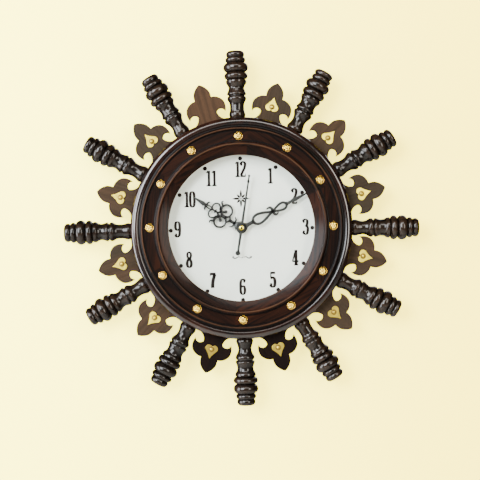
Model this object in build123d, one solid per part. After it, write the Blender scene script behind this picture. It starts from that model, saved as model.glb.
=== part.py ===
from build123d import *
import os
from math import atan2, cos, pi, radians, sin, sqrt

# A wall clock with a turned wooden ring, twelve turned spindles and twelve fretwork plates.
# Everything is drawn in a dial frame: x to the right, y up and z out of the wall towards the
# viewer, with the dial's centre on the wall plane as its origin. export() turns it to Z up.
# Clock angles are in degrees, clockwise from twelve. All lengths are in millimetres.

# ---------------------------------------------------------------- driving dimensions
TIP_RADIUS = 190.5            # half of the 381 mm (15 in) over opposite spindles
RING_R = 118.0                # outer radius of the ring
LIP_R = 77.2                  # opening that shows the dial
SEAT_R = 83.0                 # bore that takes glass, spacer, dial and board
BACK_R = 89.0                 # wider bore behind the board
RING_EDGE_D = 25.5            # where the outer rounded band starts
SEAT_D = 18.0                 # back face of the dial board
LIP_D = 34.0                  # back face of the lip
HOURS = 12
SEGMENTS = 6
FIRST_JOINT = 5.0             # clock angle of the first glue joint
ARM_D = 16.0                  # height of spindle axes and plates above the wall
GAP = 0.05                    # running or sliding clearance on a side

TENON_R, TENON_LEN = 4.0, 12.0
PLATE_T = 6.0                 # fretwork plate thickness
TONGUE_W, TONGUE_T, TONGUE_LEN = 20.0, 4.0, 8.0
HEART_T, HEART_R = 0.8, 133.5     # brass heart: thickness, radius of its pin
BARE_PLATE = 12               # the plate that carries no heart
STUD_R, STUD_AT, STUD_H = 4.5, 97.1, 2.4
PIN_R = 0.8                   # shank of a stud
CHANNEL_D = 36.2              # floor of the channel under the studs

GLASS_T, DIAL_T, BOARD_T = 2.0, 0.5, 2.5
DISC_R = SEAT_R - 0.4         # glass, spacer, dial and board

CASE_W, CASE_TOP, CASE_BOTTOM = 28.0, 20.0, -36.0
CASE_BACK, CASE_FRONT, WALL = 1.0, 17.0, 1.2
BAY_TOP = -17.8               # upper edge of the battery bay
BUSHING_R, BUSHING_BORE, BUSHING_END = 4.0, 2.65, 23.5
KNOB_R, KNOB_D = 5.5, (1.2, 3.4)
CELL_R, CELL_LEN, CELL_Y, CELL_D = 7.1, 49.5, -26.5, 8.3
PIVOT_R, PIVOT_DEPTH = 0.35, 0.7

HANGER_Y, HANGER_W, HANGER_H, HANGER_T = 101.0, 36.0, 20.0, 1.2
KEYHOLE_R, KEYHOLE_SLOT, KEYHOLE_RISE = 4.5, 2.4, 7.0
POCKET_D = 11.2

# Gear trains: (teeth of the driver, teeth of the wheel, distance between centres)
ROTOR_MESH = (8, 40, 7.2)
SECONDS_MESH = (8, 48, 8.4)
THIRD_MESH = (8, 60, 10.2)
CENTRE_MESH = (8, 64, 10.2)
MINUTE_MESH = (12, 36, 10.5)
HOUR_MESH = (10, 40, 10.5)
TRAIN_DIR, THIRD_DIR, MINUTE_DIR = 165.0, 60.0, -35.0     # from the centre, anticlockwise from +x
# Layers of the train, (back, front) above the wall
INTERMEDIATE_D, SECONDS_D, THIRD_D, CENTRE_D = (3.8, 4.4), (5.6, 6.2), (7.6, 8.4), (10.3, 11.1)
MINUTE_D, HOUR_D = (12.2, 13.2), (14.0, 15.2)
SHELF_D = (8.9, 9.7)          # bearing shelf of the case
MAGNET_D, MAGNET_R = (5.6, 7.6), 3.0

HAND_T = 0.5
HOUR_HAND_D, MINUTE_HAND_D, SECONDS_HAND_D = 24.5, 26.8, 29.0
HOUR_HAND_AT, MINUTE_HAND_AT, SECONDS_HAND_AT = 304.0, 63.0, 9.5    # clock angles at rest
SECONDS_ARBOR_R, MINUTE_TUBE_R, HOUR_TUBE_R = 0.5, 1.5, 2.5
MINUTE_BORE, HOUR_BORE = 0.65, 1.65


# ---------------------------------------------------------------- small helpers
def export(shape, name):
    """Turn a dial-frame shape to Z up, front towards -Y, and write it as one STEP file."""
    export_step(Rot(90, 0, 0) * shape, f"parts/{name}.step")


def cyl(r, d0, d1, x=0.0, y=0.0):
    """A cylinder along the clock's axis from height d0 to d1."""
    return Pos(x, y, (d0 + d1) / 2) * Cylinder(r, d1 - d0)


def block(x0, x1, y0, y1, d0, d1):
    """A block given by its corners."""
    return Pos((x0 + x1) / 2, (y0 + y1) / 2, (d0 + d1) / 2) * Box(x1 - x0, y1 - y0, d1 - d0)


def at_clock(angle):
    """Turn what stands at twelve round to a clock angle."""
    return Rot(0, 0, -angle)


def polar(angle, r):
    """A point at an anticlockwise angle and radius."""
    return (r * cos(radians(angle)), r * sin(radians(angle)))


def plate(outline, d0, d1):
    """A flat plate with the given face, from height d0 to d1."""
    return Pos(0, 0, d0) * extrude(outline, d1 - d0)


def group(solids):
    """Several separate solids kept as one node."""
    return Compound(children=list(solids))


# ---------------------------------------------------------------- ring
def ring_profile():
    """The section of the ring in the (radius, height) plane, straight at the back, moulded in front."""
    bead_d, thin_d, groove_d = 38.2, 36.0, 31.6
    edges = [
        Line((LIP_R, LIP_D + 1.0), (86.9, bead_d)),
        ThreePointArc((86.9, bead_d), (89.0, 40.0), (91.2, 37.4)),
        Polyline((91.2, 37.4), (92.0, CHANNEL_D), (103.2, CHANNEL_D), (104.0, 36.7)),
        ThreePointArc((104.0, 36.7), (105.4, 37.6), (106.7, thin_d)),
        ThreePointArc((106.7, thin_d), (108.4, groove_d), (111.0, 32.2)),
        ThreePointArc((111.0, 32.2), (115.9, 31.0), (RING_R, RING_EDGE_D)),
        Polyline((RING_R, RING_EDGE_D), (RING_R, 4.0), (RING_R - 3.0, 0.0), (BACK_R, 0.0),
                 (BACK_R, SEAT_D), (SEAT_R, SEAT_D), (SEAT_R, LIP_D), (LIP_R, LIP_D), (LIP_R, LIP_D + 1.0)),
    ]
    return Plane.XZ * make_face(edges)


def radial_rod(r, r0, r1):
    """A rod of radius r along twelve o'clock, from radius r0 to r1, at the arms' height."""
    return Pos(0, (r0 + r1) / 2, ARM_D) * Rot(90, 0, 0) * Cylinder(r, r1 - r0)


def board_screw_places():
    """The four points on the ledge where a screw head overlaps the board."""
    return [polar(45 + 90 * k, BACK_R - 3.8) for k in range(4)]


def ring_cuts():
    """Sockets, slots, stud holes, hanger recess and screw holes, all cut from the segments."""
    socket = radial_rod(TENON_R + GAP, RING_R - TENON_LEN - 0.2, RING_R + 2)
    half_w, half_t = TONGUE_W / 2 + GAP, TONGUE_T / 2 + GAP
    slot = block(-half_w, half_w, RING_R - TONGUE_LEN - 0.2, RING_R + 2, ARM_D - half_t, ARM_D + half_t)
    stud_hole = cyl(PIN_R + GAP, CHANNEL_D - 5.6, CHANNEL_D + 2, 0, STUD_AT)
    cuts = []
    for hour in range(HOURS):
        cuts += [at_clock(30 * hour) * socket, at_clock(30 * hour) * stud_hole]
        cuts.append(at_clock(30 * hour + 15) * slot)
    cuts.append(Pos(0, HANGER_Y, HANGER_T / 2) * extrude(hanger_outline(GAP), HANGER_T / 2, both=True))
    cuts.append(block(-7.0, 7.0, HANGER_Y - 8.0, HANGER_Y + 9.5, 0, POCKET_D))
    for x in (-13.0, 13.0):
        cuts.append(cyl(1.25, 0, 13.5, x, HANGER_Y))
    for x, y in board_screw_places():
        cuts.append(cyl(1.25, SEAT_D - 1, SEAT_D + 8.5, x, y))
    return cuts


def ring_segments():
    """Six glued segments of the turned ring."""
    blank = revolve(ring_profile(), Axis.Z, 360 / SEGMENTS)
    cuts = ring_cuts()
    span = 360 / SEGMENTS
    for k in range(SEGMENTS):
        segment = Rot(0, 0, 90 - FIRST_JOINT - span * (k + 1)) * blank
        box = segment.bounding_box()
        near = [c for c in cuts if overlaps(box, c.bounding_box())]
        export(segment - near, f"ring_segment_{k + 1}")


def overlaps(a, b):
    """Whether two bounding boxes share any space, seen along the clock's axis."""
    return a.min.X < b.max.X and b.min.X < a.max.X and a.min.Y < b.max.Y and b.min.Y < a.max.Y


# ---------------------------------------------------------------- spindles
def spindle():
    """A turned spindle along twelve o'clock: a tenon, a waist with flanges, and four beads."""
    base = RING_R + GAP
    tenon = [(0, RING_R - TENON_LEN), (TENON_R, RING_R - TENON_LEN), (TENON_R, base), (7.6, base)]
    edges = [
        Polyline(*tenon),
        ThreePointArc((7.6, base), (8.7, 120.8), (8.5, 123.2)),
        ThreePointArc((8.5, 123.2), (7.3, 129.6), (9.9, 137.4)),
        Polyline((9.9, 137.4), (9.9, 140.6), (8.9, 141.4), (8.9, 142.2), (10.1, 143.0), (10.1, 144.8)),
        ThreePointArc((10.1, 144.8), (8.6, 150.2), (10.8, 155.2)),
        Polyline((10.8, 155.2), (10.9, 158.6), (9.9, 159.3)),
    ]
    beads = [(9.9, 159.3, 12.6, 166.9, 10.1), (10.1, 166.9, 13.1, 177.6, 9.5),
             (9.5, 177.6, 10.7, 183.3, 8.9), (8.9, 183.3, 9.7, 189.6, 7.6)]
    for r0, s0, crest, s1, r1 in beads:
        edges.append(ThreePointArc((r0, s0), (crest, (s0 + s1) / 2), (r1, s1)))
    end_r, end_s = 7.6, 189.6
    rise = TIP_RADIUS - end_s
    dome_r = (end_r ** 2 + rise ** 2) / (2 * rise)
    dome_mid = TIP_RADIUS - dome_r + sqrt(dome_r ** 2 - end_r ** 2 / 4)
    edges.append(ThreePointArc((end_r, end_s), (end_r / 2, dome_mid), (0, TIP_RADIUS)))
    edges.append(Line((0, TIP_RADIUS), (0, RING_R - TENON_LEN)))
    return Pos(0, 0, ARM_D) * revolve(make_face(edges), Axis.Y, 360)


def spindles():
    """Twelve spindles, numbered by the hour that they stand at."""
    one = spindle()
    for hour in range(1, HOURS + 1):
        export(at_clock(30 * hour) * one, f"spindle_{hour:02d}")


# ---------------------------------------------------------------- fretwork plates
def fleur_outline():
    """The fleur-de-lis plate: a pointed leaf, two side leaves that hook back, and a flared foot."""
    foot_r = RING_R + GAP
    foot_x = 22.6
    foot_y = sqrt(foot_r ** 2 - foot_x ** 2)
    right = [
        ThreePointArc((0, 159.8), (5.0, 156.1), (8.5, 150.8)),
        ThreePointArc((8.5, 150.8), (9.1, 147.6), (9.1, 143.9)),
        ThreePointArc((9.1, 143.9), (16.0, 141.8), (20.6, 136.6)),
        ThreePointArc((20.6, 136.6), (21.3, 130.9), (19.6, 125.4)),
        ThreePointArc((19.6, 125.4), (15.4, 129.6), (10.4, 127.3)),
        ThreePointArc((10.4, 127.3), (12.6, 120.6), (foot_x, foot_y + 1.0)),
        Line((foot_x, foot_y + 1.0), (foot_x, foot_y)),
    ]
    left = [edge.mirror(Plane.YZ) for edge in right]
    foot = ThreePointArc((foot_x, foot_y), (0, foot_r), (-foot_x, foot_y))
    return make_face(right + left + [foot])


def fleur(with_heart):
    """A fretwork plate along twelve o'clock with its tongue, and a pin hole where a heart sits."""
    half = PLATE_T / 2
    body = plate(fleur_outline(), ARM_D - half, ARM_D + half)
    tongue = block(-TONGUE_W / 2, TONGUE_W / 2, RING_R - TONGUE_LEN, RING_R + 1.0,
                   ARM_D - TONGUE_T / 2, ARM_D + TONGUE_T / 2)
    body = body + tongue
    if with_heart:
        body = body - cyl(0.6, ARM_D + half - 4.2, ARM_D + half + 1, 0, HEART_R)
    return body


def fleurs():
    """Twelve fretwork plates, numbered clockwise from the one after twelve o'clock."""
    with_heart, bare = fleur(True), fleur(False)
    for number in range(1, HOURS + 1):
        one = bare if number == BARE_PLATE else with_heart
        export(at_clock(30 * number - 15) * one, f"fleur_{number:02d}")


# ---------------------------------------------------------------- brass trim
def heart_outline():
    """A heart that points outwards, with two round lobes."""
    right = [
        Line((0, 143.8), (6.0, 135.2)),
        ThreePointArc((6.0, 135.2), (5.8, 130.1), (0, 130.5)),
    ]
    left = [edge.mirror(Plane.YZ) for edge in right]
    return make_face(right + left)


def domed_pin(head_r, head_h, shank_r, shank_len):
    """A pin that stands on z = 0: a domed head above, a shank below."""
    profile = make_face([
        ThreePointArc((0, head_h), (head_r * 0.72, head_h * 0.72), (head_r, 0)),
        Polyline((head_r, 0), (shank_r, 0), (shank_r, -shank_len), (0, -shank_len), (0, head_h)),
    ])
    return revolve(Plane.XZ * profile, Axis.Z, 360)


def brass_trim():
    """Heart plates, their pins, and the studs in the ring's channel."""
    face_d = ARM_D + PLATE_T / 2
    heart = plate(heart_outline(), face_d, face_d + HEART_T)
    heart = heart - cyl(0.65, face_d, face_d + HEART_T, 0, HEART_R)
    pin = Pos(0, HEART_R, face_d + HEART_T) * domed_pin(2.4, 1.5, 0.6, HEART_T + 4.0)
    stud = Pos(0, STUD_AT, CHANNEL_D) * domed_pin(STUD_R, STUD_H, PIN_R, 5.4)
    places = [30 * n - 15 for n in range(1, HOURS + 1) if n != BARE_PLATE]
    export(group(at_clock(a) * heart for a in places), "heart_plates")
    export(group(at_clock(a) * pin for a in places), "heart_pins")
    export(group(at_clock(30 * h) * stud for h in range(HOURS)), "ring_studs")


# ---------------------------------------------------------------- glass, dial and board
def dial_stack():
    """Glass against the lip, a spacer ring, the printed dial card and the board behind it."""
    glass_back = LIP_D - GLASS_T
    dial_back = SEAT_D + BOARD_T
    dial_front = dial_back + DIAL_T
    export(cyl(DISC_R, glass_back, LIP_D), "glass")
    spacer = cyl(DISC_R, dial_front, glass_back) - cyl(DISC_R - 2.6, dial_front, glass_back)
    export(spacer, "glass_spacer_ring")
    hole = cyl(BUSHING_R + 0.1, SEAT_D, dial_front)
    export(cyl(DISC_R, dial_back, dial_front) - hole, "dial")
    export(cyl(DISC_R, SEAT_D, dial_back) - hole, "dial_board")


# ---------------------------------------------------------------- hanger and screws
def hanger_outline(grow=0.0):
    """The hanger plate with rounded ends, about its own centre."""
    return RectangleRounded(HANGER_W + 2 * grow, HANGER_H + 2 * grow, 4.0)


def hanger():
    """A flush keyhole plate: the wall screw's head enters the round hole and the slot hangs on it."""
    keyhole = Pos(0, -2.0) * Circle(KEYHOLE_R) + Pos(0, KEYHOLE_RISE / 2 - 2.0) * SlotOverall(
        KEYHOLE_RISE + 2 * KEYHOLE_SLOT, 2 * KEYHOLE_SLOT, rotation=90)
    outline = hanger_outline() - keyhole
    body = Pos(0, HANGER_Y, 0) * plate(outline, 0, HANGER_T)
    for x in (-13.0, 13.0):
        sink = Pos(x, HANGER_Y, HANGER_T / 2) * Cone(2.9, 1.7, HANGER_T)
        body = body - sink
    export(body, "hanger_plate")


def screws():
    """Four pan-head screws that hold the board and two countersunk screws in the hanger plate."""
    pan = make_face([
        ThreePointArc((0, -1.9), (2.6, -1.5), (3.4, 0)),
        Polyline((3.4, 0), (1.2, 0), (1.2, 7.5), (0, 8.5), (0, -1.9)),
    ])
    flat = make_face([
        Polyline((0, 0), (2.85, 0), (1.65, HANGER_T), (1.2, HANGER_T), (1.2, 12.0), (0, 13.0), (0, 0)),
    ])
    pan_solid = revolve(Plane.XZ * pan, Axis.Z, 360)
    flat_solid = revolve(Plane.XZ * flat, Axis.Z, 360)
    solids = [Pos(x, y, SEAT_D) * pan_solid for x, y in board_screw_places()]
    solids += [Pos(x, HANGER_Y, 0) * flat_solid for x in (-13.0, 13.0)]
    export(group(solids), "screws")


# ---------------------------------------------------------------- gears
def gear_face(teeth, pitch_r, phase):
    """A wheel outline with straight-flanked teeth, one tooth centred at the phase angle."""
    module = 2 * pitch_r / teeth
    tip_r, root_r = pitch_r + 0.75 * module, pitch_r - 1.1 * module
    pitch = 2 * pi / teeth
    points = []
    for k in range(teeth):
        middle = radians(phase) + k * pitch
        for r, share in ((root_r, -0.28), (tip_r, -0.09), (tip_r, 0.09), (root_r, 0.28)):
            points.append((r * cos(middle + share * pitch), r * sin(middle + share * pitch)))
    return make_face(Polyline(*points, close=True))


def gear(teeth, pitch_r, phase, d0, d1, x, y):
    """A toothed disc between two heights."""
    return Pos(x, y, 0) * plate(gear_face(teeth, pitch_r, phase), d0, d1)


def mesh(pair):
    """Pitch radii of a driver and a wheel from their teeth and centre distance."""
    driver, wheel, distance = pair
    return distance * driver / (driver + wheel), distance * wheel / (driver + wheel)


def wheel_phase(pair, direction):
    """The phase that sets a wheel's gap on the driver's tooth; the driver's phase is 0."""
    driver, wheel, _ = pair
    driver_share = (direction * driver / 360) % 1
    return direction + 180 - 360 * (0.5 - driver_share) / wheel


def arbor(r, d0, d1, x, y):
    """A steel arbor with a thinner pivot at each end."""
    return cyl(r, d0, d1, x, y) + cyl(PIVOT_R, d0 - PIVOT_DEPTH, d1 + PIVOT_DEPTH, x, y)


INTERMEDIATE_XY = polar(TRAIN_DIR, SECONDS_MESH[2])
ROTOR_XY = polar(TRAIN_DIR, SECONDS_MESH[2] + ROTOR_MESH[2])
THIRD_XY = polar(THIRD_DIR, THIRD_MESH[2])
MINUTE_XY = polar(MINUTE_DIR, MINUTE_MESH[2])
COVER_D = CASE_BACK + WALL    # inner face of the back cover
FRONT_D = CASE_FRONT - WALL   # inner face of the case's front


def going_train():
    """Rotor, intermediate wheel, seconds wheel, third wheel and centre wheel."""
    back = COVER_D + 0.2
    r_small, r_big = mesh(ROTOR_MESH)
    x, y = ROTOR_XY
    rotor = arbor(0.5, back, SHELF_D[0] - 0.2, x, y) + cyl(MAGNET_R, *MAGNET_D, x, y)
    rotor = rotor + gear(ROTOR_MESH[0], r_small, 0, INTERMEDIATE_D[0] - 0.4, INTERMEDIATE_D[1] + 0.4, x, y)
    export(rotor, "rotor")

    x, y = INTERMEDIATE_XY
    wheel = gear(ROTOR_MESH[1], r_big, wheel_phase(ROTOR_MESH, TRAIN_DIR + 180), *INTERMEDIATE_D, x, y)
    r_small, r_big = mesh(SECONDS_MESH)
    pinion = gear(SECONDS_MESH[0], r_small, 0, INTERMEDIATE_D[1], SECONDS_D[1] + 0.5, x, y)
    export(wheel + pinion + arbor(0.5, back, SHELF_D[0] - 0.2, x, y), "intermediate_wheel")

    wheel = gear(SECONDS_MESH[1], r_big, wheel_phase(SECONDS_MESH, TRAIN_DIR + 180), *SECONDS_D, 0, 0)
    r_small, r_big = mesh(THIRD_MESH)
    pinion = gear(THIRD_MESH[0], r_small, 0, SECONDS_D[1], THIRD_D[1] + 0.4, 0, 0)
    stem = cyl(SECONDS_ARBOR_R, back, SECONDS_HAND_D + HAND_T) + cyl(PIVOT_R, back - PIVOT_DEPTH, back)
    export(wheel + pinion + stem, "seconds_wheel")

    x, y = THIRD_XY
    wheel = gear(THIRD_MESH[1], r_big, wheel_phase(THIRD_MESH, THIRD_DIR), *THIRD_D, x, y)
    r_small, r_big = mesh(CENTRE_MESH)
    pinion = gear(CENTRE_MESH[0], r_small, 0, THIRD_D[1], CENTRE_D[1] + 0.3, x, y)
    export(wheel + pinion + arbor(0.5, back, FRONT_D - 0.2, x, y), "third_wheel")

    wheel = gear(CENTRE_MESH[1], r_big, wheel_phase(CENTRE_MESH, THIRD_DIR + 180), *CENTRE_D, 0, 0)
    wheel = wheel - cyl(MINUTE_TUBE_R + GAP, *CENTRE_D)
    export(wheel, "centre_wheel")


def motion_work():
    """Cannon pinion with the minute arbor, minute wheel with the knob, and hour wheel with its pipe."""
    r_small, r_big = mesh(MINUTE_MESH)
    tube_back = THIRD_D[1] + 0.8
    flange = cyl(2.6, CENTRE_D[0] - 0.7, CENTRE_D[0] - GAP)
    cannon = cyl(MINUTE_TUBE_R, tube_back, MINUTE_HAND_D + HAND_T) + flange
    cannon = cannon + gear(MINUTE_MESH[0], r_small, 0, CENTRE_D[1] + 0.3, MINUTE_D[1] + 0.4, 0, 0)
    export(cannon - cyl(MINUTE_BORE, tube_back, MINUTE_HAND_D + HAND_T), "cannon_pinion")

    x, y = MINUTE_XY
    wheel = gear(MINUTE_MESH[1], r_big, wheel_phase(MINUTE_MESH, MINUTE_DIR), *MINUTE_D, x, y)
    r_small, r_big = mesh(HOUR_MESH)
    pinion = gear(HOUR_MESH[0], r_small, 0, MINUTE_D[1], HOUR_D[1] + 0.3, x, y)
    stem = cyl(0.8, KNOB_D[1], FRONT_D - 0.2, x, y)
    stem = stem + cyl(PIVOT_R, FRONT_D - 0.2, FRONT_D + PIVOT_DEPTH - 0.2, x, y)
    export(wheel + pinion + stem, "minute_wheel")

    knob = cyl(KNOB_R, *KNOB_D, x, y)
    for k in range(16):
        dx, dy = polar(k * 22.5, KNOB_R + 0.25)
        knob = knob - cyl(0.55, KNOB_D[0], KNOB_D[1], x + dx, y + dy)
    knob = knob - block(x - 3.6, x + 3.6, y - 0.5, y + 0.5, KNOB_D[0], KNOB_D[0] + 0.6)
    export(knob, "setting_knob")

    wheel = gear(HOUR_MESH[1], r_big, wheel_phase(HOUR_MESH, MINUTE_DIR + 180), *HOUR_D, 0, 0)
    pipe = cyl(HOUR_TUBE_R, HOUR_D[0], HOUR_HAND_D + HAND_T)
    export(wheel + pipe - cyl(HOUR_BORE, HOUR_D[0], HOUR_HAND_D + HAND_T), "hour_wheel")


# ---------------------------------------------------------------- movement
def pivot_holes(places, d0, d1):
    """Bearing holes for arbor pivots."""
    return [cyl(PIVOT_R + GAP, d0, d1, x, y) for x, y in places]


def movement_case():
    """The moulded case: front wall with the threaded bushing, side walls, battery bay, bearing shelf."""
    outer = block(-CASE_W, CASE_W, CASE_BOTTOM, CASE_TOP, CASE_BACK, CASE_FRONT)
    inner_w = CASE_W - WALL
    gears = block(-inner_w, inner_w, BAY_TOP, CASE_TOP - WALL, CASE_BACK, FRONT_D)
    bay = block(-inner_w, inner_w, CASE_BOTTOM + WALL, BAY_TOP - WALL, CASE_BACK, FRONT_D)
    body = outer - gears - bay
    body = body + block(-18.5, -5.0, -1.0, CASE_TOP - WALL / 2, *SHELF_D)
    body = body + cyl(BUSHING_R, FRONT_D, BUSHING_END) - cyl(BUSHING_BORE, FRONT_D, BUSHING_END)
    body = body - pivot_holes([ROTOR_XY, INTERMEDIATE_XY], *SHELF_D)
    body = body - pivot_holes([THIRD_XY, MINUTE_XY], FRONT_D, FRONT_D + 0.9)
    finger = Pos(0, CASE_BOTTOM, CASE_BACK) * Rot(90, 0, 0) * Cylinder(9.0, 2 * WALL + 1)
    export(body - finger, "movement_case")


def movement_cover():
    """The snap-in back cover over the gears, with a cup for the knob."""
    inner_w = CASE_W - WALL - GAP
    x, y = MINUTE_XY
    cup_r, cup_d = KNOB_R + 0.5, KNOB_D[1] + 0.2
    body = block(-inner_w, inner_w, BAY_TOP + GAP, CASE_TOP - WALL - GAP, CASE_BACK, COVER_D)
    body = body + cyl(cup_r + 0.9, COVER_D, cup_d + 0.8, x, y)
    body = body - cyl(cup_r, CASE_BACK, cup_d, x, y) - cyl(0.8 + GAP, cup_d, cup_d + 0.8, x, y)
    places = [ROTOR_XY, INTERMEDIATE_XY, THIRD_XY, (0, 0)]
    export(body - pivot_holes(places, COVER_D - 0.9, COVER_D), "movement_cover")


def movement_fixings():
    """The rubber washer between case and board and the hexagon nut on the bushing."""
    washer = cyl(9.0, CASE_FRONT, SEAT_D) - cyl(BUSHING_R + GAP, CASE_FRONT, SEAT_D)
    export(washer, "rubber_washer")
    nut_back = SEAT_D + BOARD_T + DIAL_T
    nut = plate(RegularPolygon(5.5, 6), nut_back, nut_back + 2.0)
    export(nut - cyl(BUSHING_R + 0.02, nut_back, nut_back + 2.0), "mounting_nut")


def motor():
    """Circuit board, coil on its bobbin and the stator that carries its field to the rotor."""
    board = block(-26.0, -5.0, -17.0, -10.0, 5.0, 6.0)
    chip = cyl(2.2, 6.0, 7.0, -12.0, -13.5)
    crystal = block(-22.0, -16.0, -14.5, -12.5, 6.0, 8.0)
    export(board + chip + crystal, "circuit_board")

    core_x, plate_d = -22.6, (6.2, 7.0)
    centre_d = (plate_d[0] + plate_d[1]) / 2
    lying = Pos(core_x, 2.5, centre_d) * Rot(90, 0, 0)
    core_hole = block(core_x - 1.5, core_x + 1.5, -9.0, 14.0, plate_d[0] - GAP, plate_d[1] + GAP)
    coil = lying * Cylinder(3.3, 15.0) - core_hole
    for y in (-5.5, 10.5):
        coil = coil + (Pos(core_x, y, centre_d) * Rot(90, 0, 0) * Cylinder(4.0, 1.0) - core_hole)
    export(coil, "coil")

    rx, ry = ROTOR_XY
    core = block(core_x - 1.4, core_x + 1.4, -8.5, 13.5, *plate_d)
    arms = block(core_x - 1.4, rx + 4.6, -8.5, -6.3, *plate_d)
    arms = arms + block(core_x - 1.4, rx + 4.6, 11.3, 13.5, *plate_d)
    pole = block(rx - 2.6, rx + 4.6, -8.5, 13.5, *plate_d)
    hole = cyl(MAGNET_R + 0.35, *plate_d, rx, ry)
    gap = block(rx - 3.0, rx + 5.0, ry - 0.25, ry + 0.25, *plate_d)
    export(core + arms + pole - hole - gap, "stator")


def battery():
    """The AA cell across the bay, with a flat contact at one end and a spring contact at the other."""
    lying = Pos(0, CELL_Y, CELL_D) * Rot(0, 90, 0)
    nub = Pos(CELL_LEN / 2 + 0.5, CELL_Y, CELL_D) * Rot(0, 90, 0) * Cylinder(2.75, 1.0)
    export(lying * Cylinder(CELL_R, CELL_LEN) + nub, "aa_cell")
    inner_w = CASE_W - WALL
    flat = block(inner_w - 0.4, inner_w, CELL_Y - 4.5, CELL_Y + 4.5, 3.0, 13.5)
    leaf = block(-inner_w, -inner_w + 0.4, CELL_Y - 4.5, CELL_Y + 4.5, 3.0, 13.5)
    spring = Pos(-(inner_w - 0.4 + CELL_LEN / 2 + 0.1) / 2, CELL_Y, CELL_D) * Rot(0, 90, 0) * Cone(
        3.6, 2.4, inner_w - 0.4 - CELL_LEN / 2 - 0.1)
    export(group([flat, leaf + spring]), "battery_contacts")


# ---------------------------------------------------------------- hands
def bar(p0, p1, w0, w1):
    """A straight tapering bar between two points, with a width at each."""
    angle = atan2(p1[1] - p0[1], p1[0] - p0[0])
    nx, ny = -sin(angle) / 2, cos(angle) / 2
    corners = [(p0[0] + nx * w0, p0[1] + ny * w0), (p1[0] + nx * w1, p1[1] + ny * w1),
               (p1[0] - nx * w1, p1[1] - ny * w1), (p0[0] - nx * w0, p0[1] - ny * w0)]
    return make_face(Polyline(*corners, close=True))


def bow(x, y, half_w, half_h, width, tilt=0.0):
    """An oval loop of even width."""
    ring = Ellipse(half_w + width / 2, half_h + width / 2) - Ellipse(half_w - width / 2, half_h - width / 2)
    return Pos(x, y) * Rot(0, 0, tilt) * ring


def both(shape):
    """A shape and its mirror image across the hand's middle."""
    return shape + mirror(shape, Plane.YZ)


def hour_hand():
    """Openwork hour hand: two large scrolls, two small ones, a slot and a spear point."""
    face = Circle(5.9) + bar((0, 4), (0, 10), 6.4, 2.0) + bar((0, 9), (0, 16), 2.0, 2.0)
    face = face + both(bar((0, 9.4), (5.2, 10.2), 1.2, 1.0) + bar((5.0, 9.9), (6.4, 12.2), 1.1, 0.7))
    face = face + both(bow(7.2, 23.0, 5.6, 6.1, 1.3) + Pos(5.6, 23.4) * Circle(1.9))
    face = face + both(bar((5.4, 24.5), (3.4, 28.2), 2.0, 2.2) + bar((0, 15), (4.2, 18.4), 1.5, 1.5))
    face = face + bar((0, 19.5), (0, 26.0), 3.0, 2.4) + bar((-5.5, 28.8), (5.5, 28.8), 2.0, 2.0)
    face = face + both(bar((9.4, 28.4), (11.4, 32.2), 1.6, 1.2) + bar((11.0, 32.2), (13.6, 31.8), 1.3, 0.9))
    face = face + both(bow(4.3, 34.2, 3.7, 4.3, 1.2, -12)) + bar((0, 28), (0, 39.5), 1.3, 2.4)
    face = face + both(bar((1.3, 38.0), (1.3, 44.4), 0.9, 0.9) + bar((0, 44.5), (5.0, 43.2), 1.5, 0.8))
    face = face + bar((0, 44), (0, 49), 1.9, 2.8) + bar((0, 49), (0, 60.2), 2.8, 0.8)
    return face - Circle(HOUR_TUBE_R + 0.02)


def minute_hand():
    """Openwork minute hand: a teardrop loop, a knot with two curls, a second loop and a blade."""
    face = Circle(5.6) + bar((0, 4), (0, 14), 4.2, 2.4) + bow(0, 20.4, 5.0, 6.4, 1.4)
    face = face + both(bar((4.6, 23.4), (0.4, 36.0), 1.4, 1.4)) + Pos(0, 37.5) * Circle(1.9)
    face = face + bar((0, 38), (-4.6, 36.8), 1.8, 1.3) + bar((-4.5, 37.2), (-4.6, 32.6), 1.4, 0.9)
    face = face + bar((0, 37), (4.4, 38.8), 1.8, 1.3) + bar((4.5, 38.4), (3.9, 42.4), 1.4, 0.9)
    face = face + both(bar((0.3, 39.0), (3.7, 47.4), 1.3, 1.3)) + bow(0, 49.4, 4.0, 4.8, 1.4)
    face = face + bar((0, 54), (0, 57), 3.2, 2.4) + bar((0, 57), (0, 60), 2.4, 2.8)
    face = face + bar((0, 60), (0, 79.5), 2.8, 0.8)
    return face - Circle(MINUTE_TUBE_R + 0.02)


def seconds_hand():
    """A thin rod with a ball at each end, a black boss and a brass-coloured centre cap."""
    face = bar((0, 0), (0, 55.5), 1.1, 0.9) + Pos(0, 56.0) * Circle(1.0) + bar((0, 0), (0, -26.0), 1.7, 1.6)
    face = face + Pos(0, -26.9) * Circle(2.5) + Circle(3.7) + Pos(0, 49.9) * Circle(0.9)
    body = plate(face, SECONDS_HAND_D, SECONDS_HAND_D + HAND_T)
    body = body + cyl(2.4, SECONDS_HAND_D, SECONDS_HAND_D + 1.3)
    return body - cyl(SECONDS_ARBOR_R + 0.02, SECONDS_HAND_D - 1, SECONDS_HAND_D + HAND_T)


def hands():
    """The three hands, turned to ten past ten."""
    hour = plate(hour_hand(), HOUR_HAND_D, HOUR_HAND_D + HAND_T)
    minute = plate(minute_hand(), MINUTE_HAND_D, MINUTE_HAND_D + HAND_T)
    export(at_clock(HOUR_HAND_AT) * hour, "hour_hand")
    export(at_clock(MINUTE_HAND_AT) * minute, "minute_hand")
    export(at_clock(SECONDS_HAND_AT) * seconds_hand(), "seconds_hand")


os.makedirs("parts", exist_ok=True)
ring_segments()
spindles()
fleurs()
brass_trim()
dial_stack()
hanger()
screws()
going_train()
motion_work()
movement_case()
movement_cover()
movement_fixings()
motor()
battery()
hands()
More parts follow.
